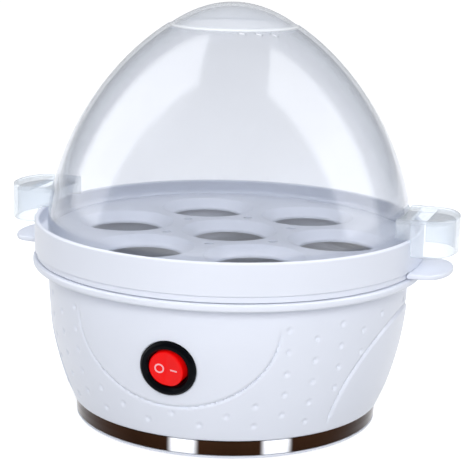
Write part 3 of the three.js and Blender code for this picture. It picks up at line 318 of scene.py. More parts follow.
class Paint:
    """A material being made: one Principled shader and the nodes that feed it."""

    def __init__(self, name, **fixed):
        self.material = bpy.data.materials.new(name)
        self.material.use_nodes = True
        self.tree = self.material.node_tree
        self.tree.nodes.clear()
        self.shader = self.node("ShaderNodeBsdfPrincipled")
        self.output = self.tree.nodes.new("ShaderNodeOutputMaterial")
        self.tree.links.new(self.shader.socket, self.output.inputs["Surface"])
        self.place = self.node("ShaderNodeTexCoord", out="Object")
        for socket, value in fixed.items():
            self.set(socket.replace("_", " "), value)

    def node(self, kind, settings=None, *values, out=0, **named):
        """Adds a node: settings first, then its sockets' values or links by order or name."""
        made = self.tree.nodes.new(kind)
        for key, value in (settings or {}).items():
            setattr(made, key, value)
        sockets = [*zip(made.inputs, values), *((made.inputs[k], v) for k, v in named.items())]
        for socket, value in sockets:
            self.feed(socket, value)
        return Wire(self, made.outputs[out])

    def feed(self, socket, value):
        """Links a wire into a socket, or sets its value; colours get their fourth number."""
        if isinstance(value, Wire):
            self.tree.links.new(value.socket, socket)
        elif socket.type == "RGBA":
            socket.default_value = (*value[:3], 1.0)
        else:
            socket.default_value = value

    def set(self, socket, value):
        self.feed(self.shader.socket.node.inputs[socket], value)

    def noise(self, scale, detail=2.0, roughness=0.5, place=None):
        return self.node("ShaderNodeTexNoise", None, Vector=place or self.place, Scale=scale,
                         Detail=detail, Roughness=roughness)

    def cells(self, scale):
        return self.node("ShaderNodeTexVoronoi", None, Vector=self.place, Scale=scale)

    def stretched(self, x, y, z):
        return self.node("ShaderNodeMapping", None, Vector=self.place, Scale=(x, y, z))

    def axes(self):
        """The piece's own x, y and z as separate wires."""
        split = self.node("ShaderNodeSeparateXYZ", None, self.place).socket.node
        return [Wire(self, socket) for socket in split.outputs]

    def radius(self):
        """Distance from the Z axis."""
        x, y, _ = self.axes()
        return (x * x + y * y) ** 0.5

    def mix(self, factor, first, second):
        """Colour part of the way from the first to the second."""
        made = self.tree.nodes.new("ShaderNodeMix")
        made.data_type = "RGBA"
        for index, value in ((0, factor), (6, first), (7, second)):
            self.feed(made.inputs[index], value)
        return Wire(self, made.outputs[2])

    def blend(self, factor, first, second):
        """Shader part of the way from the first to the second."""
        return self.node("ShaderNodeMixShader", None, factor, first, second)

    def tones(self, factor, colour, first, second):
        """Base colour that varies between two brightnesses of one colour."""
        self.set("Base Color", self.mix(factor, shade(colour, first), shade(colour, second)))

    def bump(self, height, distance):
        self.set("Normal", self.node("ShaderNodeBump", None, Height=height, Distance=distance))

    def surface(self, shader):
        self.tree.links.new(shader.socket, self.output.inputs["Surface"])


def shade(colour, factor):
    return tuple(min(1.0, c * factor) for c in colour[:3])


def moulded(name, colour, roughness, grain=0.02 * MM, shine=0.5, coat=0.0, spread=0.05):
    """Moulded plastic or rubber: faint clouds, fine grain and slightly uneven gloss."""
    paint = Paint(name, IOR=1.5, Coat_Weight=coat, Coat_Roughness=0.06, Specular_IOR_Level=shine)
    cloud = paint.noise(38.0, 3.0)
    paint.tones(cloud, colour, 0.97, 1.02)
    paint.set("Roughness", roughness - spread / 2 + spread * paint.noise(120.0, 4.0))
    paint.bump(paint.noise(2600.0, 2.0, 0.6), grain)
    return paint


def metal(name, colour, roughness, spread=0.12, grain=0.015 * MM):
    """Plated or rolled metal: soft stains in the colour and fine rolling marks along X."""
    paint = Paint(name, Metallic=1.0)
    marks = paint.noise(600.0, 4.0, 0.6, paint.stretched(0.1, 1, 1))
    stain = paint.noise(45.0, 3.0)
    paint.tones(stain, colour, 0.88, 1.08)
    paint.set("Roughness", roughness - spread / 2 + spread * marks)
    paint.bump(marks, grain)
    return paint


def cast_metal(name, colour, roughness):
    """Cast or scaled metal: pitted skin and dull patches."""
    paint = Paint(name, Metallic=1.0)
    patch = paint.noise(70.0, 5.0, 0.65)
    paint.tones(patch, colour, 0.75, 1.1)
    paint.set("Roughness", roughness + 0.2 * patch)
    paint.bump(0.5 * paint.cells(900.0) + patch, 0.06 * MM)
    return paint


def spun_steel(name, colour, stain_colour):
    """Satin pressed steel: fine circular polishing lines, and scale stains on the floor."""
    paint = Paint(name, Metallic=1.0)
    radius = paint.radius()
    lines = paint.node("ShaderNodeTexNoise", {"noise_dimensions": "1D"}, W=radius, Scale=5200.0,
                       Detail=3.0, Roughness=0.7)
    stain = paint.noise(60.0, 5.0, 0.7) * (1.0 - radius.step(0.02, 0.05))
    paint.set("Base Color", paint.mix(0.5 * stain, colour, stain_colour))
    paint.set("Roughness", 0.2 + 0.16 * lines + 0.1 * stain)
    paint.bump(lines, 0.008 * MM)
    return paint


def painted_reflection_steel(name, bright, dark):
    """Polished band with painted reflections: broad stretches of painted dark reflection broken by bright upright
    streaks of painted reflected light, with hairline polishing marks."""
    paint = Paint(name, Metallic=1.0)
    x, y, _ = paint.axes()
    turn = paint.node("ShaderNodeMath", {"operation": "ARCTAN2"}, x, 0.0 - y)
    smear = paint.noise(90.0, 3.0, 0.6, paint.stretched(1, 1, 0.2))
    streaks = 0.0
    # Painted reflections: bright streaks at fixed bearings over painted dark stretches, all in the base colour
    for middle, half in TRIM_REFLECTION_STREAKS:
        away = abs(turn - math.radians(middle))
        band = 1.0 - away.step(math.radians(half - REFLECTION_STREAK_EDGE), math.radians(half + REFLECTION_STREAK_EDGE))
        streaks = band.math("MAXIMUM", streaks, band)
    warm = paint.noise(35.0, 2.0, 0.5, paint.stretched(1, 1, 0.1))
    painted_dark_reflection = paint.mix(warm, shade(dark, 0.55), shade(dark, 1.6))
    paint.set("Base Color", paint.mix((streaks * (0.82 + 0.25 * smear)).clamp(), painted_dark_reflection, bright))
    paint.set("Roughness", 0.1 + 0.08 * smear)
    paint.bump(paint.noise(900.0, 2.0, 0.5, paint.stretched(0.02, 0.02, 1)), 0.01 * MM)
    return paint


def clear_plastic(name, tint, edge_tint, haze, crown=0.0, gloss=0.12):
    """Clear plastic seen without bending. With f for how far the surface turns away, a see-through shader darkens
    towards the edge as f^4, a milky share lies over it, more milk in the crown and a brighter ring at the crown's
    edge paint the crown's highlight, and a mirror layer grows as 0.04 + 0.96 f^5."""
    paint = Paint(name, IOR=1.49)
    away = paint.node("ShaderNodeLayerWeight", None, 0.5, out="Facing")
    straight = paint.node("ShaderNodeBsdfTransparent", None, tint)
    edge = paint.node("ShaderNodeBsdfTransparent", None, edge_tint)
    mirror = paint.node("ShaderNodeBsdfGlossy", None, (1, 1, 1), gloss)
    cloud = paint.noise(60.0, 3.0)
    paint.set("Base Color", paint.mix(cloud, (0.82, 0.86, 0.91), (0.88, 0.9, 0.94)))
    paint.set("Roughness", 0.25 + 0.1 * cloud)
    see = paint.blend(away ** 4.0, straight, edge)
    _, _, height = paint.axes()
    # Painted highlight: extra milk over the crown and a brighter ring round its edge
    above = height.step(CROWN_EDGE - CROWN_HIGHLIGHT_RING, CROWN_EDGE)
    highlight_ring = above * (1.0 - height.step(CROWN_EDGE, CROWN_EDGE + CROWN_HIGHLIGHT_RING))
    milk_and_highlight = haze * (0.8 + 0.4 * cloud) + crown * (above + 2.0 * highlight_ring)
    milky = paint.blend(milk_and_highlight, see, paint.shader)
    paint.surface(paint.blend(0.04 + 0.96 * away ** 5.0, milky, mirror))
    return paint


def red_with_painted_glow(name, colour):
    """Translucent red moulding with a faint painted glow."""
    # Painted glow: the red emission set here and its colour below brighten the rocker
    paint = Paint(name, IOR=1.49, Specular_IOR_Level=0.15, Emission_Strength=0.25)
    cloud = paint.noise(160.0, 2.0)
    paint.tones(cloud, colour, 0.9, 1.1)
    paint.set("Roughness", 0.16 + 0.06 * paint.noise(300.0, 2.0))
    paint.set("Emission Color", paint.mix(cloud, (0.85, 0.0, 0.0), (1.0, 0.004, 0.003)))
    return paint


def printed(name, colour):
    """Pad-printed ink: even colour with a slightly broken gloss."""
    paint = Paint(name, IOR=1.5)
    paint.tones(paint.noise(800.0), colour, 0.94, 1.0)
    paint.set("Roughness", 0.35 + 0.1 * paint.noise(900.0))
    return paint


def lamp_glass(name, colour):
    """Tinted glass envelope of the small lamp."""
    paint = Paint(name, IOR=1.5, Transmission_Weight=0.7)
    paint.tones(paint.noise(500.0), colour, 0.8, 1.0)
    paint.set("Roughness", 0.05 + 0.05 * paint.noise(700.0))
    return paint


def sleeve(name, colour):
    """Extruded wire insulation: waxy, with faint dirt."""
    paint = Paint(name, IOR=1.5)
    dirt = paint.noise(180.0, 4.0, 0.6)
    paint.tones(dirt, colour, 0.8, 1.1)
    paint.set("Roughness", 0.4 + 0.15 * dirt)
    paint.bump(paint.noise(1500.0), 0.01 * MM)
    return paint


def recipes(look):
    """For each finish, the function that makes it and that function's values after the name."""
    return {
        "white_plastic": (moulded, look.white, look.white_roughness, 0.006 * MM),
        "inner_plastic": (moulded, shade(look.white, 0.93), 0.45, 0.03 * MM),
        "clear_plastic": (clear_plastic, look.clear, look.clear_edge, look.haze, look.crown_haze),
        "ear_plastic": (clear_plastic, look.ear, look.ear_edge, look.ear_haze),
        # The polished band's colour holds painted reflections: bright streaks and dark stretches
        "polished_steel": (painted_reflection_steel, (0.9, 0.91, 0.94), look.trim_dark),
        "pan_steel": (spun_steel, (0.72, 0.71, 0.70), (0.5, 0.47, 0.42)),
        "zinc_steel": (metal, (0.58, 0.59, 0.61), 0.34),
        "cast_aluminium": (cast_metal, (0.55, 0.56, 0.57), 0.42),
        "element_steel": (cast_metal, (0.26, 0.25, 0.25), 0.5),
        "black_plastic": (moulded, look.black, 0.2, 0.004 * MM, 0.04),
        "red_plastic": (red_with_painted_glow, look.red),
        "symbol_ink": (printed, (1.0, 0.5, 0.55)),
        "brass": (metal, (0.72, 0.52, 0.2), 0.28),
        "rubber": (moulded, (0.03, 0.03, 0.032), 0.75, 0.05 * MM),
        "silicone": (moulded, (0.66, 0.62, 0.55), 0.6),
        "bakelite": (moulded, (0.035, 0.02, 0.014), 0.4, 0.02 * MM, 0.5, 0.2),
        "block_plastic": (moulded, (0.82, 0.79, 0.7), 0.45),
        "amber_glass": (lamp_glass, (1.0, 0.42, 0.1)),
        "white_sleeve": (sleeve, (0.82, 0.8, 0.75)),
        "blue_sleeve": (sleeve, (0.03, 0.1, 0.38)),
        "brown_sleeve": (sleeve, (0.14, 0.05, 0.02)),
        "green_sleeve": (sleeve, (0.12, 0.32, 0.04)),
    }


def finish(name):
    """Material of a finish, made the first time that it is asked for."""
    own = f"cooker_{name}"
    make, *values = recipes(bpy.context.scene.cooker_finish)[name]
    return bpy.data.materials.get(own) or make(own, *values).material


# ---- Sizes and colours a user would change ----
def size(text, value):
    return FloatProperty(name=text.split(",")[0], description=text, default=value * MM,
                         unit="LENGTH", min=0.0, precision=5)


def tint(text, value):
    return FloatVectorProperty(name=text.split(",")[0], description=text, default=value,
                               subtype="COLOR", size=3, min=0.0, max=1.0)


def share(text, value, most=1.0):
    return FloatProperty(name=text.split(",")[0], description=text, default=value, min=0.0,
                         max=most)


class CookerHousing(bpy.types.PropertyGroup):
    """Sizes of the base housing."""
    wall: size("Wall, its thickness", 2.2)
    inset: size("Wall inset, from the flange to the top of the wall", 6.7)
    bulge: size("Bulge, of the wall below the flange", 2.6)
    taper: size("Taper, of the wall towards the foot", 13.2)
    ledge: size("Ledge, its depth below the flange's top", 1.3)
    dimple_depth: size("Dimple depth, at its middle", 1.0)
    dimple_radius: size("Dimple radius, at the wall", 1.6)
    dimple_pitch: size("Dimple pitch, between dimples of one column", 9.1)
    dimple_foot: size("Dimple foot, height of the lowest row", 16.2)
    panel_rise: size("Panel rise, of the plain panels over the dimpled field", 0.4)
    groove: size("Groove, its depth round each panel", 0.85)
    columns: IntProperty(name="Columns", description="Columns of dimples", default=40, min=4)


class CookerRack(bpy.types.PropertyGroup):
    """Sizes of the egg rack."""
    wall: size("Wall, thickness of the rim", 2.0)
    deck_drop: size("Deck drop, from the rim's top to the deck", 5.9)
    deck: size("Deck, its thickness", 1.6)
    foot_recess: size("Foot recess, of the band under the rim", 0.9)
    foot_height: size("Foot height, of the recessed band", 2.6)
    seat_circle: size("Seat circle, radius that six seats stand on", 47.0)
    seat: size("Seat, its radius at the deck", 20.5)
    seat_hole: size("Seat hole, its radius", 15.5)
    seat_depth: size("Seat depth, below the deck", 4.5)
    seat_wall: size("Seat wall, its thickness", 1.4)
    steam_circle: size("Steam circle, radius that the steam holes stand on", 27.1)
    steam: size("Steam hole, its radius", 2.0)
    skirt: size("Skirt, outer radius of the locating skirt", 72.0)
    tab_half: size("Tab half width, across", 16.0)
    tab_end: size("Tab end, length of its rounded end", 8.5)
    tab_thickness: size("Tab thickness, through it", 2.2)


class CookerLid(bpy.types.PropertyGroup):
    """Sizes of the clear lid."""
    wall: size("Wall, thickness of the lid", 1.8)
    radius: size("Radius, of the lid's skirt", 77.0)
    skirt: size("Skirt, height of its upright part", 4.5)
    crown: size("Crown, radius of the flatter top", 27.5)
    crown_step: size("Crown step, down to the crown", 0.5)
    crown_trim: size("Crown trim, from the curve's tip to the crown's apex", 0.9)
    ear_half: size("Ear half width, across", 16.0)
    ear_end: size("Ear end, length of its rounded end", 10.5)
    ear_recess: size("Ear recess, of its plate below its edge", 0.6)
    vent: size("Vent, radius of each steam hole", 2.0)
    vent_circle: size("Vent circle, radius that the vents stand on", 36.0)
    power: share("Power, of the lid's superellipse", 1.677, 4.0)


class CookerFinish(bpy.types.PropertyGroup):
    """Colours of the finishes."""
    white: tint("White, cool white plastic", (0.79, 0.825, 0.92))
    white_roughness: share("White roughness, of the plastic", 0.34)
    black: tint("Black, switch bezel", (0.002, 0.0025, 0.004))
    red: tint("Red, rocker", (0.72, 0.0015, 0.002))
    clear: tint("Clear, lid seen straight on", (0.908, 0.915, 0.932))
    clear_edge: tint("Clear edge, lid seen edge on", (0.6, 0.63, 0.67))
    haze: share("Haze, milky share of the lid", 0.05)
    # Painted highlight: extra milk that brightens the lid's crown and the ring round its edge
    crown_haze: share("Crown haze, more of it in the lid's crown", 0.25)
    ear: tint("Ear, seen straight on", (0.9, 0.925, 0.95))
    ear_edge: tint("Ear edge, seen edge on", (0.5, 0.54, 0.58))
    ear_haze: share("Ear haze, milky share of the ears", 0.22)
    # Painted reflection: colour of the band's dark stretches, which stand for dark surroundings reflected in it
    trim_dark: tint("Trim dark, dark stretches of the band", (0.023, 0.01, 0.005))


class CookerStage(bpy.types.PropertyGroup):
    """Strengths of the lights."""
    key: share("Key, power of the front softbox in W", 8.5, 100.0)
    top: share("Top, power of the overhead softbox in W", 5.0, 100.0)
    sheen: share("Sheen, power of the strips that only show in gloss, in W", 14.0, 100.0)
    world: share("World, strength of the light all round", 0.53, 10.0)


# ---- Base ----
def wall_radius(z, sizes):
    """Outer radius of the wall: with q from 0 under the flange to 1 at the foot, the radius is
    the top radius + bulge q - taper q^2."""
    q = (FLANGE_FOOT - z) / (FLANGE_FOOT - WALL_FOOT)
    return FLANGE_RADIUS - sizes.inset + sizes.bulge * q - sizes.taper * q * q


def past_ellipse(x, z, half_x, half_z):
    """Distance outside an ellipse, nearly: (e - 1) / |grad e| for the scaled radius e. The
    slope has a floor, because it is 0 at the middle."""
    e = np.sqrt((x / half_x) ** 2 + (z / half_z) ** 2) + 1e-9
    slope = np.sqrt((x / half_x ** 2) ** 2 + (z / half_z ** 2) ** 2) / e
    return (e - 1) / np.maximum(slope, 1.0)


def past_panels(turn, z):
    """Distances outside the plain panels: at the front and back the lower half of an ellipse
    under the flange, and at the sides the upper half of one over the foot."""
    front = np.abs(np.arctan2(np.sin(turn), np.cos(turn)))
    front = np.minimum(front, math.pi - front)
    bowl = past_ellipse(front * PANEL_REACH, np.minimum(z - BOWL[0], 0), *BOWL[1:])
    side = math.pi / 2 - front
    arch = past_ellipse(side * PANEL_REACH, np.maximum(z - ARCH[0], 0), *ARCH[1:])
    return bowl, arch


def wall_relief(turn, z, sizes):
    """Outward shift of the wall: a plain panel stands proud behind a soft step with a fine
    groove at its edge, and each dimple outside them is a bell (1 + cos) / 2."""
    out = np.zeros(np.broadcast(turn, z).shape)
    bowl, arch = past_panels(turn, z)
    for past, fade in ((bowl, 1 - smooth(*BOWL_FADE, z)), (arch, smooth(*ARCH_FADE, z))):
        step = 1 - smooth(*PANEL_STEP, past)
        groove = np.exp(-(((past - GROOVE_PLACE) / GROOVE_WIDTH) ** 2))
        out += fade * (sizes.panel_rise * step - sizes.groove * groove)
    pitch = 2 * math.pi / sizes.columns
    bell = np.zeros_like(out)
    for odd in (0, 1):
        column = (2 * np.round((turn / pitch - odd) / 2) + odd) * pitch
        foot = sizes.dimple_foot + (1 - odd) * sizes.dimple_pitch / 2
        place = np.clip(np.round((z - foot) / sizes.dimple_pitch), 0, DIMPLE_ROWS - 1)
        row = foot + place * sizes.dimple_pitch
        off = np.hypot((turn - column) * wall_radius(z, sizes), z - row) / sizes.dimple_radius
        bowl_off, arch_off = past_panels(column, row)
        free = np.minimum(bowl_off, arch_off) > DIMPLE_CLEARANCE
        hollow = 0.5 + 0.5 * np.cos(math.pi * np.clip(off, 0, 1))
        bell = np.maximum(bell, np.where(free, hollow, 0))
    return out - sizes.dimple_depth * bell


def wall_shell(sizes):
    """Closed turned shell whose outer wall carries the relief."""
    spigot = (high("trim_ring").y - 1.1 * MM) / MM
    top, foot, base = FLANGE_FOOT / MM, WALL_FOOT / MM, low("housing").z / MM
    edge, neck = (wall_radius(np.array([WALL_FOOT, FLANGE_FOOT]), sizes) / MM).tolist()
    thick, flange, rim_top = sizes.wall / MM, FLANGE_RADIUS / MM, FLANGE_TOP / MM
    lip, ledge = flange - 3.4, rim_top - sizes.ledge / MM
    rows = np.linspace(WALL_FOOT + 0.6 * MM, FLANGE_FOOT - 0.4 * MM, 84)
    wall = np.stack([wall_radius(rows, sizes), rows], axis=1)
    lower = rounded([(spigot, base, 0.3), (spigot, foot, 0), (edge - 0.6, foot, 0),
                     (edge - 0.2, foot + 0.15, 0)])[1:]
    rim = rounded([(neck, top - 0.2, 0), (neck + 0.2, top, 0), (flange, top, 1.1),
                   (flange, rim_top, 1.1), (lip, rim_top, 0.3), (lip, ledge, 0),
                   (neck - thick, ledge, 0.3), (neck - thick, top - 3, 0)], 5)
    inner = np.linspace(FLANGE_FOOT - 6 * MM, WALL_FOOT, 7)
    inner = np.stack([wall_radius(inner, sizes) - sizes.wall, inner], axis=1)
    end = rounded([(spigot - thick, foot - 1, 0), (spigot - thick, base, 0)])
    profile = np.concatenate([lower, wall, rim, inner, end])
    turn = np.linspace(-math.pi, math.pi, 720, endpoint=False)
    r, z = profile[:, :1] + 0 * turn, profile[:, 1:] + 0 * turn
    carved = slice(len(lower), len(lower) + len(wall))
    r[carved] += wall_relief(turn, z[carved], sizes)
    grid = np.stack([r * np.sin(turn), -r * np.cos(turn), z], axis=-1)
    return surface("housing_shell", grid, sharp=50.0)


def switch_frame(tilt=0.0):
    """Place of the switch, with its origin on the rocker's pivot, +Z out of the wall and +Y up
    it, turned about Y by the tilt."""
    x, y, z = (1, 0, 0), SWITCH_UP, SWITCH_OUT
    axes = Matrix([(x[k], y[k], z[k], PIVOT[k]) for k in range(3)] + [(0, 0, 0, 1)])
    return axes @ Matrix.Rotation(tilt, 4, "Y")


def gland_frame():
    """Place of the cord gland, with +Z pointing out of the back."""
    z = (low("cord_gland").z + high("cord_gland").z) / 2
    return Matrix.Translation((0, 0, z)) @ Matrix.Rotation(-math.pi / 2, 4, "X")


class COOKER_OT_housing(bpy.types.Operator):
    """Builds the base's shell with its relief, the pocket of the switch and the cord's hole"""
    bl_idname = "cooker.housing"
    bl_label = "Housing"

    def execute(self, context):
        shell = wall_shell(context.scene.cooker_housing)
        face = high("cord_gland").y - GLAND_REACH
        pad = placed(slab("tool", ring(9 * MM, 96), face - 3.4 * MM, face - 0.3 * MM, 0.5 * MM),
                     gland_frame())
        combine(shell, "UNION", [pad], 50.0)
        seat = high("switch_body").x + 0.3 * MM
        # A flat seat for the bezel, the hole for the switch's body, and the cord's hole
        cuts = [placed(peg(seat, 1.6 * MM, 8 * MM), switch_frame()),
                placed(peg(10 * MM, -12 * MM, 8 * MM), switch_frame()),
                placed(peg(5.3 * MM, face - 12 * MM, face + 3 * MM), gland_frame())]
        combine(shell, "DIFFERENCE", cuts, 50.0)
        mount(shell, "base", "white_plastic", "housing")
        return {"FINISHED"}


class COOKER_OT_foot_band(bpy.types.Operator):
    """Builds the polished trim band round the foot of the base"""
    bl_idname = "cooker.foot_band"
    bl_label = "Trim band"

    def execute(self, context):
        z0, z1, r = span("trim_ring")
        band = turned("trim_band", rounded([
            (r - 0.8, z0, 0.1), (r - 0.12, z0, 0.25), (r, (z0 + z1) / 2, 4), (r - 0.12, z1, 0.25),
            (r - 0.8, z1, 0.1)], 4), 256)
        mount(band, "base", "polished_steel", "trim_ring")
        return {"FINISHED"}


class COOKER_OT_bottom(bpy.types.Operator):
    """Builds the bottom cover with its air slots, the rubber feet and the bottom screws"""
    bl_idname = "cooker.bottom"
    bl_label = "Bottom cover, feet and screws"

    def execute(self, context):
        z0, _, r = span("bottom_cover")
        cover = turned("bottom_plate", rounded([
            (0, z0, 0), (r, z0, 0.4), (r, z0 + 1, 0.2), (r - 0.9, z0 + 1, 0),
            (r - 0.9, z0 + 2, 0.2), (0, z0 + 2, 0)], 4), 192, False)
        cuts = []
        bosses = [make(k, cuts) for make in (self.foot, self.screw) for k in range(1, 5)]
        for k in range(-2, 3):
            slot = plate(-9, 9, 7 * k - 1.2, 7 * k + 1.2, 1.15, 6)
            cuts.append(slab("tool", slot, 0, 6 * MM))
        combine(combine(cover, "UNION", bosses), "DIFFERENCE", cuts)
        mount(cover, "base", "inner_plastic", "bottom_cover")
        return {"FINISHED"}

    def foot(self, k, cuts):
        """Mounts a foot, adds its pocket to the cuts and returns its boss."""
        a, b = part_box(f"foot_{k}")
        x, y, r, top = (a.x + b.x) / 2, (a.y + b.y) / 2, (b.x - a.x) / 2, b.z
        sole = turned(f"rubber_foot_{k}", rounded([
            (0, 0.35, 0), (r / MM - 2.2, 0.35, 0.2), (r / MM - 1.9, 0, 0.2), (r / MM - 0.9, 0, 0.5),
            (r / MM, 1, 0.5), (r / MM, top / MM, 0.2), (0, top / MM, 0)], 4), 48, False)
        mount(shifted(sole, x, y), "base", "rubber", f"foot_{k}")
        cuts.append(peg(r + 0.3 * MM, 0, top + 0.3 * MM, x, y))
        return peg(r + 2 * MM, top - 0.3 * MM, top + 2 * MM, x, y)

    def screw(self, k, cuts):
        """Mounts a cross-head screw, adds its holes to the cuts and returns its boss."""
        a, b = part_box(f"bottom_screw_{k}")
        x, y, head, foot = (a.x + b.x) / 2, (a.y + b.y) / 2, 3.4, a.z / MM
        body = turned(f"cover_screw_{k}", rounded([
            (0, foot, 0), (head - 0.6, foot, 0.4), (head, foot + 0.6, 0.5), (head, foot + 1.6, 0.1),
            (1.6, foot + 1.6, 0), (1.6, b.z / MM - 1.2, 0.3), (0, b.z / MM, 0)], 3), 32, False)
        cross = [slab("tool", plate(-h, h, -w, w, 0.1, 2), a.z - MM, a.z + 0.9 * MM)
                 for h, w in ((1.9, 0.45), (0.45, 1.9))]
        mount(shifted(combine(body, "DIFFERENCE", cross), x, y), "base", "zinc_steel",
              f"bottom_screw_{k}")
        cuts += [peg((head + 0.3) * MM, 0, (foot + 1.9) * MM, x, y, 48),
                 peg(1.9 * MM, 0, 8 * MM, x, y, 32)]
        return peg((head + 2) * MM, 2.2 * MM, high("bottom_cover").z, x, y, 48)


class COOKER_OT_gland(bpy.types.Operator):
    """Builds the gland at the back, which a cord would pass through"""
    bl_idname = "cooker.gland"
    bl_label = "Cord gland"

    def execute(self, context):
        back, nose = low("cord_gland").y / MM, high("cord_gland").y / MM
        face = nose - GLAND_REACH / MM
        gland = turned("gland_bush", rounded([
            (3.3, back, 0.2), (5, back, 0.3), (5, face, 0), (7.2, face, 0.2), (7.2, face + 2, 0.8),
            (5, face + 2, 0.5), (4.2, nose, 0.5), (3.3, nose, 0.3)], 4), 96)
        mount(placed(gland, gland_frame()), "base", SLOTS["cord_gland"], "cord_gland")
        return {"FINISHED"}


# ---- Switch ----
def facet_height(x):
    """Height of the rocker's face over its pivot: two facets that rise from the middle fold,
    softened there as sqrt(x^2 + c^2) - c."""
    fold, soft = 3.5 * MM, 0.3 * MM
    return fold + (np.sqrt(x * x + soft * soft) - soft) * math.tan(ROCKER_TURN)


def rocker_cap():
    """Rocker: circles of radius R follow the facets up the flank and round a soft shoulder, and
    then shrink to the middle of the face; the underside is flat."""
    radius, shoulder, under = 7.4 * MM, 0.75 * MM, -3.2 * MM
    a = np.linspace(0, 2 * math.pi, 96, endpoint=False)
    t = np.linspace(0, math.pi / 2, 7)
    r = np.concatenate([[0, radius - 0.6 * MM], np.full(6, radius),
                        radius - shoulder * (1 - np.cos(t)), np.linspace(radius - 1.1 * MM, 0, 20)])
    x, y = r[:, None] * np.cos(a), r[:, None] * np.sin(a)
    face = facet_height(x)
    z = face.copy()
    z[:2] = under
    flank = np.linspace(0.08, 0.95, 6)[:, None]
    z[2:8] = under + flank * (face[2:8] - shoulder - under)
    z[8:15] -= shoulder * (1 - np.sin(t))[:, None]
    return surface("rocker_cap", np.stack([x, y, z], axis=-1), False, True, 60.0)


class COOKER_OT_switch(bpy.types.Operator):
    """Builds the switch: glossy bezel, cup, rocker and its raised symbols"""
    bl_idname = "cooker.switch"
    bl_label = "Rocker switch"

    def execute(self, context):
        body = turned("switch_bezel", rounded([
            (0, -13.4, 0), (9.7, -13.4, 0.5), (9.7, 1.9, 0), (11.5, 1.9, 0.2), (11.5, 3.2, 1.0),
            (10.4, 4.5, 1.1), (9.1, 4.5, 0.6), (8.1, 3.2, 0.7), (8.1, -11.8, 0.4),
            (0, -11.8, 0)], 6), 128, False)
        mount(placed(body, switch_frame()), "base", "black_plastic", "switch_body")
        cap = placed(rocker_cap(), switch_frame(-ROCKER_TURN))
        mount(cap, "rocker", "red_plastic", "switch_rocker")
        off = turned("symbol_off", rounded([
            (1.4, -0.1, 0), (2.0, -0.1, 0), (2.0, 0.1, 0.08), (1.4, 0.1, 0.08)], 3), 48)
        dash = plate(-1.6, 1.6, -0.3, 0.3, 0.25, 4)
        on = slab("symbol_on", dash, -0.1 * MM, 0.1 * MM, 0.05 * MM)
        for symbol, x in ((off, -2.9 * MM), (on, 3.4 * MM)):
            lean = math.copysign(ROCKER_TURN, -x)
            spot = Matrix.Translation((x, 0, float(facet_height(x)) - 0.02 * MM))
            placed(symbol, switch_frame(-ROCKER_TURN) @ spot @ Matrix.Rotation(lean, 4, "Y"))
            mount(symbol, "rocker", "red_plastic", look="symbol_ink")
        return {"FINISHED"}


# ---- Pan ----
class COOKER_OT_pan(bpy.types.Operator):
    """Builds the pressed steel water pan and the seal under its rim"""
    bl_idname = "cooker.pan"
    bl_label = "Water pan and seal"

    def execute(self, context):
        z, top, rim = span("water_pan")
        wall, knee = rim - 6, top - 6.8
        pan = turned("water_dish", rounded([
            (0, z, 0), (50, z, 6), (wall, knee, 4), (wall, top - 0.8, 0.5), (rim, top - 0.8, 0.3),
            (rim, top, 0.35), (wall - 0.8, top, 1.1), (wall - 0.8, knee + 0.3, 4),
            (49.7, z + 0.8, 6), (0, z + 0.8, 0)], 8), 256, False)
        mount(pan, "base", "pan_steel", "water_pan")
        foot, head, outer = span("pan_seal")
        seal = turned("rim_seal", plate(75, outer, foot, head, 0.3, 3), 192)
        mount(seal, "base", SLOTS["pan_seal"], "pan_seal")
        return {"FINISHED"}


# ---- Rack ----
def rack_body(sizes):
    """Rim, deck and locating skirt turned in one, with the seats joined and cut out."""
    mm = {key: getattr(sizes, key) / MM for key in sizes.bl_rna.properties.keys()
          if key not in ("rna_type", "name")}
    foot, top, r = span("egg_rack")
    stand = FLANGE_TOP / MM + 0.3
    deck, inner, skirt = top - mm["deck_drop"], r - mm["wall"], mm["skirt"]
    under, band = deck - mm["deck"], r - mm["foot_recess"]
    body = turned("rack_body", rounded([
        (0, under, 0), (skirt - 1.6, under, 0.5), (skirt - 1.6, foot, 0.5), (skirt, foot, 0.6),
        (skirt, under, 0.5), (inner, under, 0.3), (inner, stand, 0.15), (band, stand, 0.15),
        (band, stand + mm["foot_height"], 0.15), (r, stand + mm["foot_height"], 0.25),
        (r, top, 0.9), (inner, top, 0.9), (inner, deck, 1.4), (0, deck, 0)], 5), 256, False)
    floor, hole, seat, wall = deck - mm["seat_depth"], mm["seat_hole"], mm["seat"], mm["seat_wall"]
    spots = [(0.0, 0.0), *ring(sizes.seat_circle, 6).tolist()]

    def at_seats(profile):
        return [shifted(turned("tool", profile, 96, False), x, y) for x, y in spots]

    cups = at_seats(rounded([
        (0, floor, 0), (hole + wall, floor, 0.8), (seat + wall, deck - 0.8, 0),
        (0, deck - 0.8, 0)], 3))
    dishes = at_seats(rounded([
        (0, floor - 1, 0), (hole, floor - 1, 0), (hole, floor + 1, 1.2), (seat, deck + 0.04, 1.1),
        (seat + 1.5, deck + 0.04, 0), (seat + 1.5, deck + 1, 0), (0, deck + 1, 0)], 4))
    turn = Matrix.Rotation(math.pi / 6, 4, "Z")
    steam = [placed(peg(sizes.steam, (floor - 2) * MM, (deck + 1) * MM, x, y, 32), turn)
             for x, y in ring(sizes.steam_circle, 6).tolist()]
    return combine(combine(body, "UNION", cups), "DIFFERENCE", dishes + steam, 35.0)


class COOKER_OT_rack(bpy.types.Operator):
    """Builds the egg rack with its seats and steam holes"""
    bl_idname = "cooker.rack"
    bl_label = "Egg rack"

    def execute(self, context):
        mount(rack_body(context.scene.cooker_rack), "rack", "white_plastic", "egg_rack")
        return {"FINISHED"}


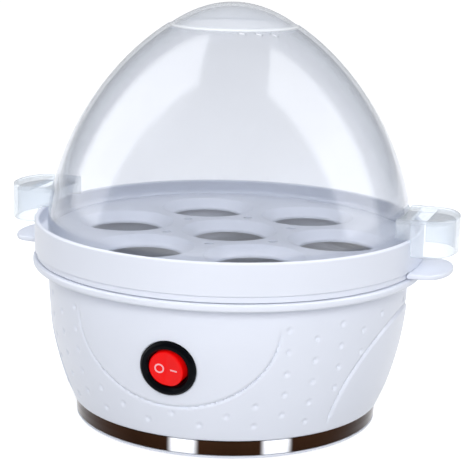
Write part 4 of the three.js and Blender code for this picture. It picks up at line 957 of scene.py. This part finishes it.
class COOKER_OT_tabs(bpy.types.Operator):
    """Builds the two lifting tabs of the rack"""
    bl_idname = "cooker.tabs"
    bl_label = "Rack tabs"

    def execute(self, context):
        sizes = context.scene.cooker_rack
        rim = high("egg_rack")
        start = rim.y - 0.9 * sizes.wall
        foot = FLANGE_TOP + 0.6 * MM
        for side, turn in (("right", 0.0), ("left", math.pi)):
            outline = tongue(start, rim.x, sizes.tab_half, sizes.tab_end)
            tab = slab(f"rack_tab_{side}", outline, foot, foot + sizes.tab_thickness, 0.8 * MM, 5)
            mount(placed(tab, Matrix.Rotation(turn, 4, "Z")), "rack", "white_plastic", "egg_rack")
        return {"FINISHED"}


# ---- Lid ----
def lid_outside(sizes, inset=0.0, step=0.0):
    """Half outline of the lid from the skirt's top to the axis: a superellipse, radius
    R cos(a)^(2/p) and height H sin(a)^(2/p), down to the crown's radius, and there a shallow
    bowl turned over, apex - (apex - edge) s^2."""
    shoulder = LID_FOOT + sizes.skirt
    tall = high("lid_dome").z + sizes.crown_trim - shoulder - inset
    wide, power = sizes.radius - inset, sizes.power
    reach = math.acos(((sizes.crown + 0.2 * MM) / wide) ** (power / 2))
    a = np.linspace(0, 1, 72) ** 1.15 * reach
    bend = 2 / power
    side = np.stack([wide * np.cos(a) ** bend, shoulder + tall * np.sin(a) ** bend], axis=1)
    edge = shoulder + tall * (1 - (sizes.crown / wide) ** power) ** (1 / power) - step
    apex = high("lid_dome").z - inset
    s = np.linspace(1, 0, 26)
    crown = np.stack([sizes.crown * s, apex - (apex - edge) * s * s], axis=1)
    return np.concatenate([side, crown])


def lid_shell(sizes):
    """Dome with its wall, rounded at the lower edge, and the steam vents cut at the back."""
    inside = lid_outside(sizes, sizes.wall)[::-1]
    outside = lid_outside(sizes, 0.0, sizes.crown_step)
    r, z, wall = sizes.radius / MM, LID_FOOT / MM, sizes.wall / MM
    edge = rounded([(r - wall, z + 3, 0), (r - wall, z, 0.5), (r, z, 0.5), (r, z + 3, 0)], 5)
    dome = turned("lid_shell", np.concatenate([inside, edge, outside]), 224, False, 30.0)
    inside_lid, above_lid = 130 * MM, 190 * MM
    vents = []
    for angle in VENT_BEARINGS:
        turn = math.radians(angle)
        x, y = sizes.vent_circle * math.cos(turn), sizes.vent_circle * math.sin(turn)
        vents.append(peg(sizes.vent, inside_lid, above_lid, x, y, 40))
    return combine(dome, "DIFFERENCE", vents, 30.0)


def lid_ear(name, sizes):
    """One ear: a skirt round a rounded tongue with a recessed top plate, cut away over the rack's
    rim, at the finger slot and where the dome passes."""
    (_, _, foot), (tip, _, top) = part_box("lid_ear_right")
    wall, half, end = sizes.wall, sizes.ear_half, sizes.ear_end
    plate_top = top - sizes.ear_recess
    rim, rim_top = high("egg_rack").y, high("egg_rack").z
    skin, rim_gap = 0.02 * MM, 0.6 * MM
    ear = slab(name, tongue(sizes.radius - wall, tip, half, end), foot, top, 0.7 * MM, 5)
    inner = tongue(0, tip - wall, half - wall, end - wall)
    slot = plate(rim / MM - 2.5, rim / MM + 4.5, -13.2, 13.2, 1.2, 5)
    start = [[0, foot - 0.01], [sizes.radius + skin, foot - 0.01]]
    column = np.concatenate([start, lid_outside(sizes, -skin)])
    cuts = [slab("tool", inner, foot - MM, plate_top - wall, 0.4 * MM),
            slab("tool", inner, plate_top, top + 2 * MM, 0.3 * MM),
            slab("tool", slot, foot - MM, top + MM),
            peg(rim + rim_gap, foot - MM, rim_top + rim_gap, sides=224),
            turned("tool", column, 224, False)]
    return combine(ear, "DIFFERENCE", cuts, 35.0)


class COOKER_OT_lid(bpy.types.Operator):
    """Builds the clear dome with its crown and vents"""
    bl_idname = "cooker.lid"
    bl_label = "Lid"

    def execute(self, context):
        mount(lid_shell(context.scene.cooker_lid), "lid", "clear_plastic", "lid_dome")
        return {"FINISHED"}


class COOKER_OT_ears(bpy.types.Operator):
    """Builds the two ears that the lid is lifted by"""
    bl_idname = "cooker.ears"
    bl_label = "Lid ears"

    def execute(self, context):
        for side, turn in (("right", 0.0), ("left", math.pi)):
            ear = lid_ear(f"ear_shell_{side}", context.scene.cooker_lid)
            placed(ear, Matrix.Rotation(turn, 4, "Z"))
            mount(ear, "lid", "clear_plastic", f"lid_ear_{side}", look="ear_plastic")
            ear.visible_shadow = False
        return {"FINISHED"}


# ---- Parts inside the base ----
class COOKER_OT_inner_parts(bpy.types.Operator):
    """Gives each part carried over from the frame its own finish"""
    bl_idname = "cooker.inner_parts"
    bl_label = "Inner parts"

    def execute(self, context):
        for name, part in frame["nodes"].items():
            part.data.materials.clear()
            part.data.materials.append(finish(SLOTS[name]))
        return {"FINISHED"}


# ---- Stage ----
def softbox(name, place, width, height, power):
    """White area lamp that points at the middle of the stage."""
    light = bpy.data.lights.new(name, "AREA")
    light.shape = "RECTANGLE"
    light.size, light.size_y = width, height
    light.energy = power
    lamp = bpy.data.objects.new(name, light)
    bpy.context.scene.collection.objects.link(lamp)
    lamp.location = place
    aim = Vector(STAGE_MIDDLE) - Vector(place)
    lamp.rotation_euler = aim.to_track_quat("-Z", "Y").to_euler()
    return lamp


def aim_camera():
    """Camera by its bearing round the object, its distance, height, pitch, yaw and roll."""
    bearing, distance, height = math.radians(17.5), 0.66105, 0.23005
    pitch, yaw, roll = (math.radians(v) for v in (12.878, 0.248, 1.389))
    turns = ((bearing, "Z"), (-yaw, "Z"), (math.pi / 2 - pitch, "X"), (roll, "Z"))
    orbit, pan, tilt, lean = (Matrix.Rotation(angle, 4, axis) for angle, axis in turns)
    spot = Matrix.Translation((0, -distance, height))
    lens = bpy.data.cameras.new("camera")
    lens.sensor_width, lens.lens = 36, 121.1
    camera = bpy.data.objects.new("camera", lens)
    bpy.context.scene.collection.objects.link(camera)
    camera.matrix_world = orbit @ spot @ pan @ tilt @ lean
    bpy.context.scene.camera = camera


class COOKER_OT_stage(bpy.types.Operator):
    """Builds the white floor and backdrop, the soft lights and the camera"""
    bl_idname = "cooker.stage"
    bl_label = "Stage"

    def execute(self, context):
        look = context.scene.cooker_stage
        floor = slab("stage_floor", ring(STAGE_RADIUS, 96), -0.01, 0.0)
        near, far, high_up = STAGE_RADIUS - 0.2, STAGE_RADIUS - 0.1, STAGE_HEIGHT
        section = np.array([(near, 0), (far, 0), (far, high_up), (near, high_up)])
        wall = turned("stage_wall", section, 96)
        for piece, glow in ((floor, 0.55), (wall, 0.8)):
            paint = Paint(f"{piece.name}_paper", IOR=1.3, Emission_Color=(1.0, 1.0, 1.0),
                          Emission_Strength=glow)
            cloud = paint.noise(3.0)
            paint.set("Base Color", paint.mix(cloud, (0.93, 0.935, 0.95), (0.95, 0.955, 0.965)))
            paint.set("Roughness", 0.75 + 0.1 * paint.noise(40.0))
            piece.data.materials.append(paint.material)
            piece.visible_diffuse = False
        wall.visible_glossy = wall.visible_shadow = False
        world = bpy.data.worlds.new("light_all_round")
        world.use_nodes = True
        sky = world.node_tree.nodes["Background"].inputs
        sky["Color"].default_value = (0.97, 0.98, 1.0, 1.0)
        sky["Strength"].default_value = look.world
        context.scene.world = world
        key = softbox("front_softbox", (0.38, -1.09, 0.62), 0.5, 0.5, look.key)
        top = softbox("top_softbox", (0.0, 0.0, 1.2), 0.7, 0.7, look.top)
        key.visible_glossy = top.visible_glossy = False
        for name, place in (("left_strip", (-1.1, -0.1, 0.9)), ("right_strip", (1.15, 0.35, 0.9))):
            softbox(name, place, 0.9, 2.0, look.sheen).visible_diffuse = False
        aim_camera()
        context.scene.view_settings.view_transform = "Standard"
        return {"FINISHED"}


OPERATORS = (
    COOKER_OT_stage, COOKER_OT_inner_parts, COOKER_OT_housing, COOKER_OT_foot_band,
    COOKER_OT_bottom, COOKER_OT_gland, COOKER_OT_switch, COOKER_OT_pan, COOKER_OT_rack,
    COOKER_OT_tabs, COOKER_OT_lid, COOKER_OT_ears)
SETTINGS = {
    "cooker_housing": CookerHousing, "cooker_rack": CookerRack, "cooker_lid": CookerLid,
    "cooker_finish": CookerFinish, "cooker_stage": CookerStage}


class COOKER_PT_builder(bpy.types.Panel):
    """Lists the pieces and their sizes"""
    bl_label = "Egg Cooker"
    bl_idname = "COOKER_PT_builder"
    bl_space_type = "VIEW_3D"
    bl_region_type = "UI"
    bl_category = "Egg Cooker"

    def draw(self, context):
        for operator in OPERATORS:
            self.layout.operator(operator.bl_idname)
        for key, group in SETTINGS.items():
            box = self.layout.box()
            box.label(text=key.replace("cooker_", "").capitalize())
            for name in group.__annotations__:
                box.prop(getattr(context.scene, key), name)


def register():
    for kind in (*SETTINGS.values(), *OPERATORS, COOKER_PT_builder):
        bpy.utils.register_class(kind)
    for key, group in SETTINGS.items():
        setattr(bpy.types.Scene, key, PointerProperty(type=group))


def unregister():
    for key in SETTINGS:
        delattr(bpy.types.Scene, key)
    for kind in (COOKER_PT_builder, *reversed(OPERATORS), *reversed(SETTINGS.values())):
        bpy.utils.unregister_class(kind)


def main():
    register()
    for operator in OPERATORS:
        group, name = operator.bl_idname.split(".")
        getattr(getattr(bpy.ops, group), name)()


if __name__ == "__main__":
    main()
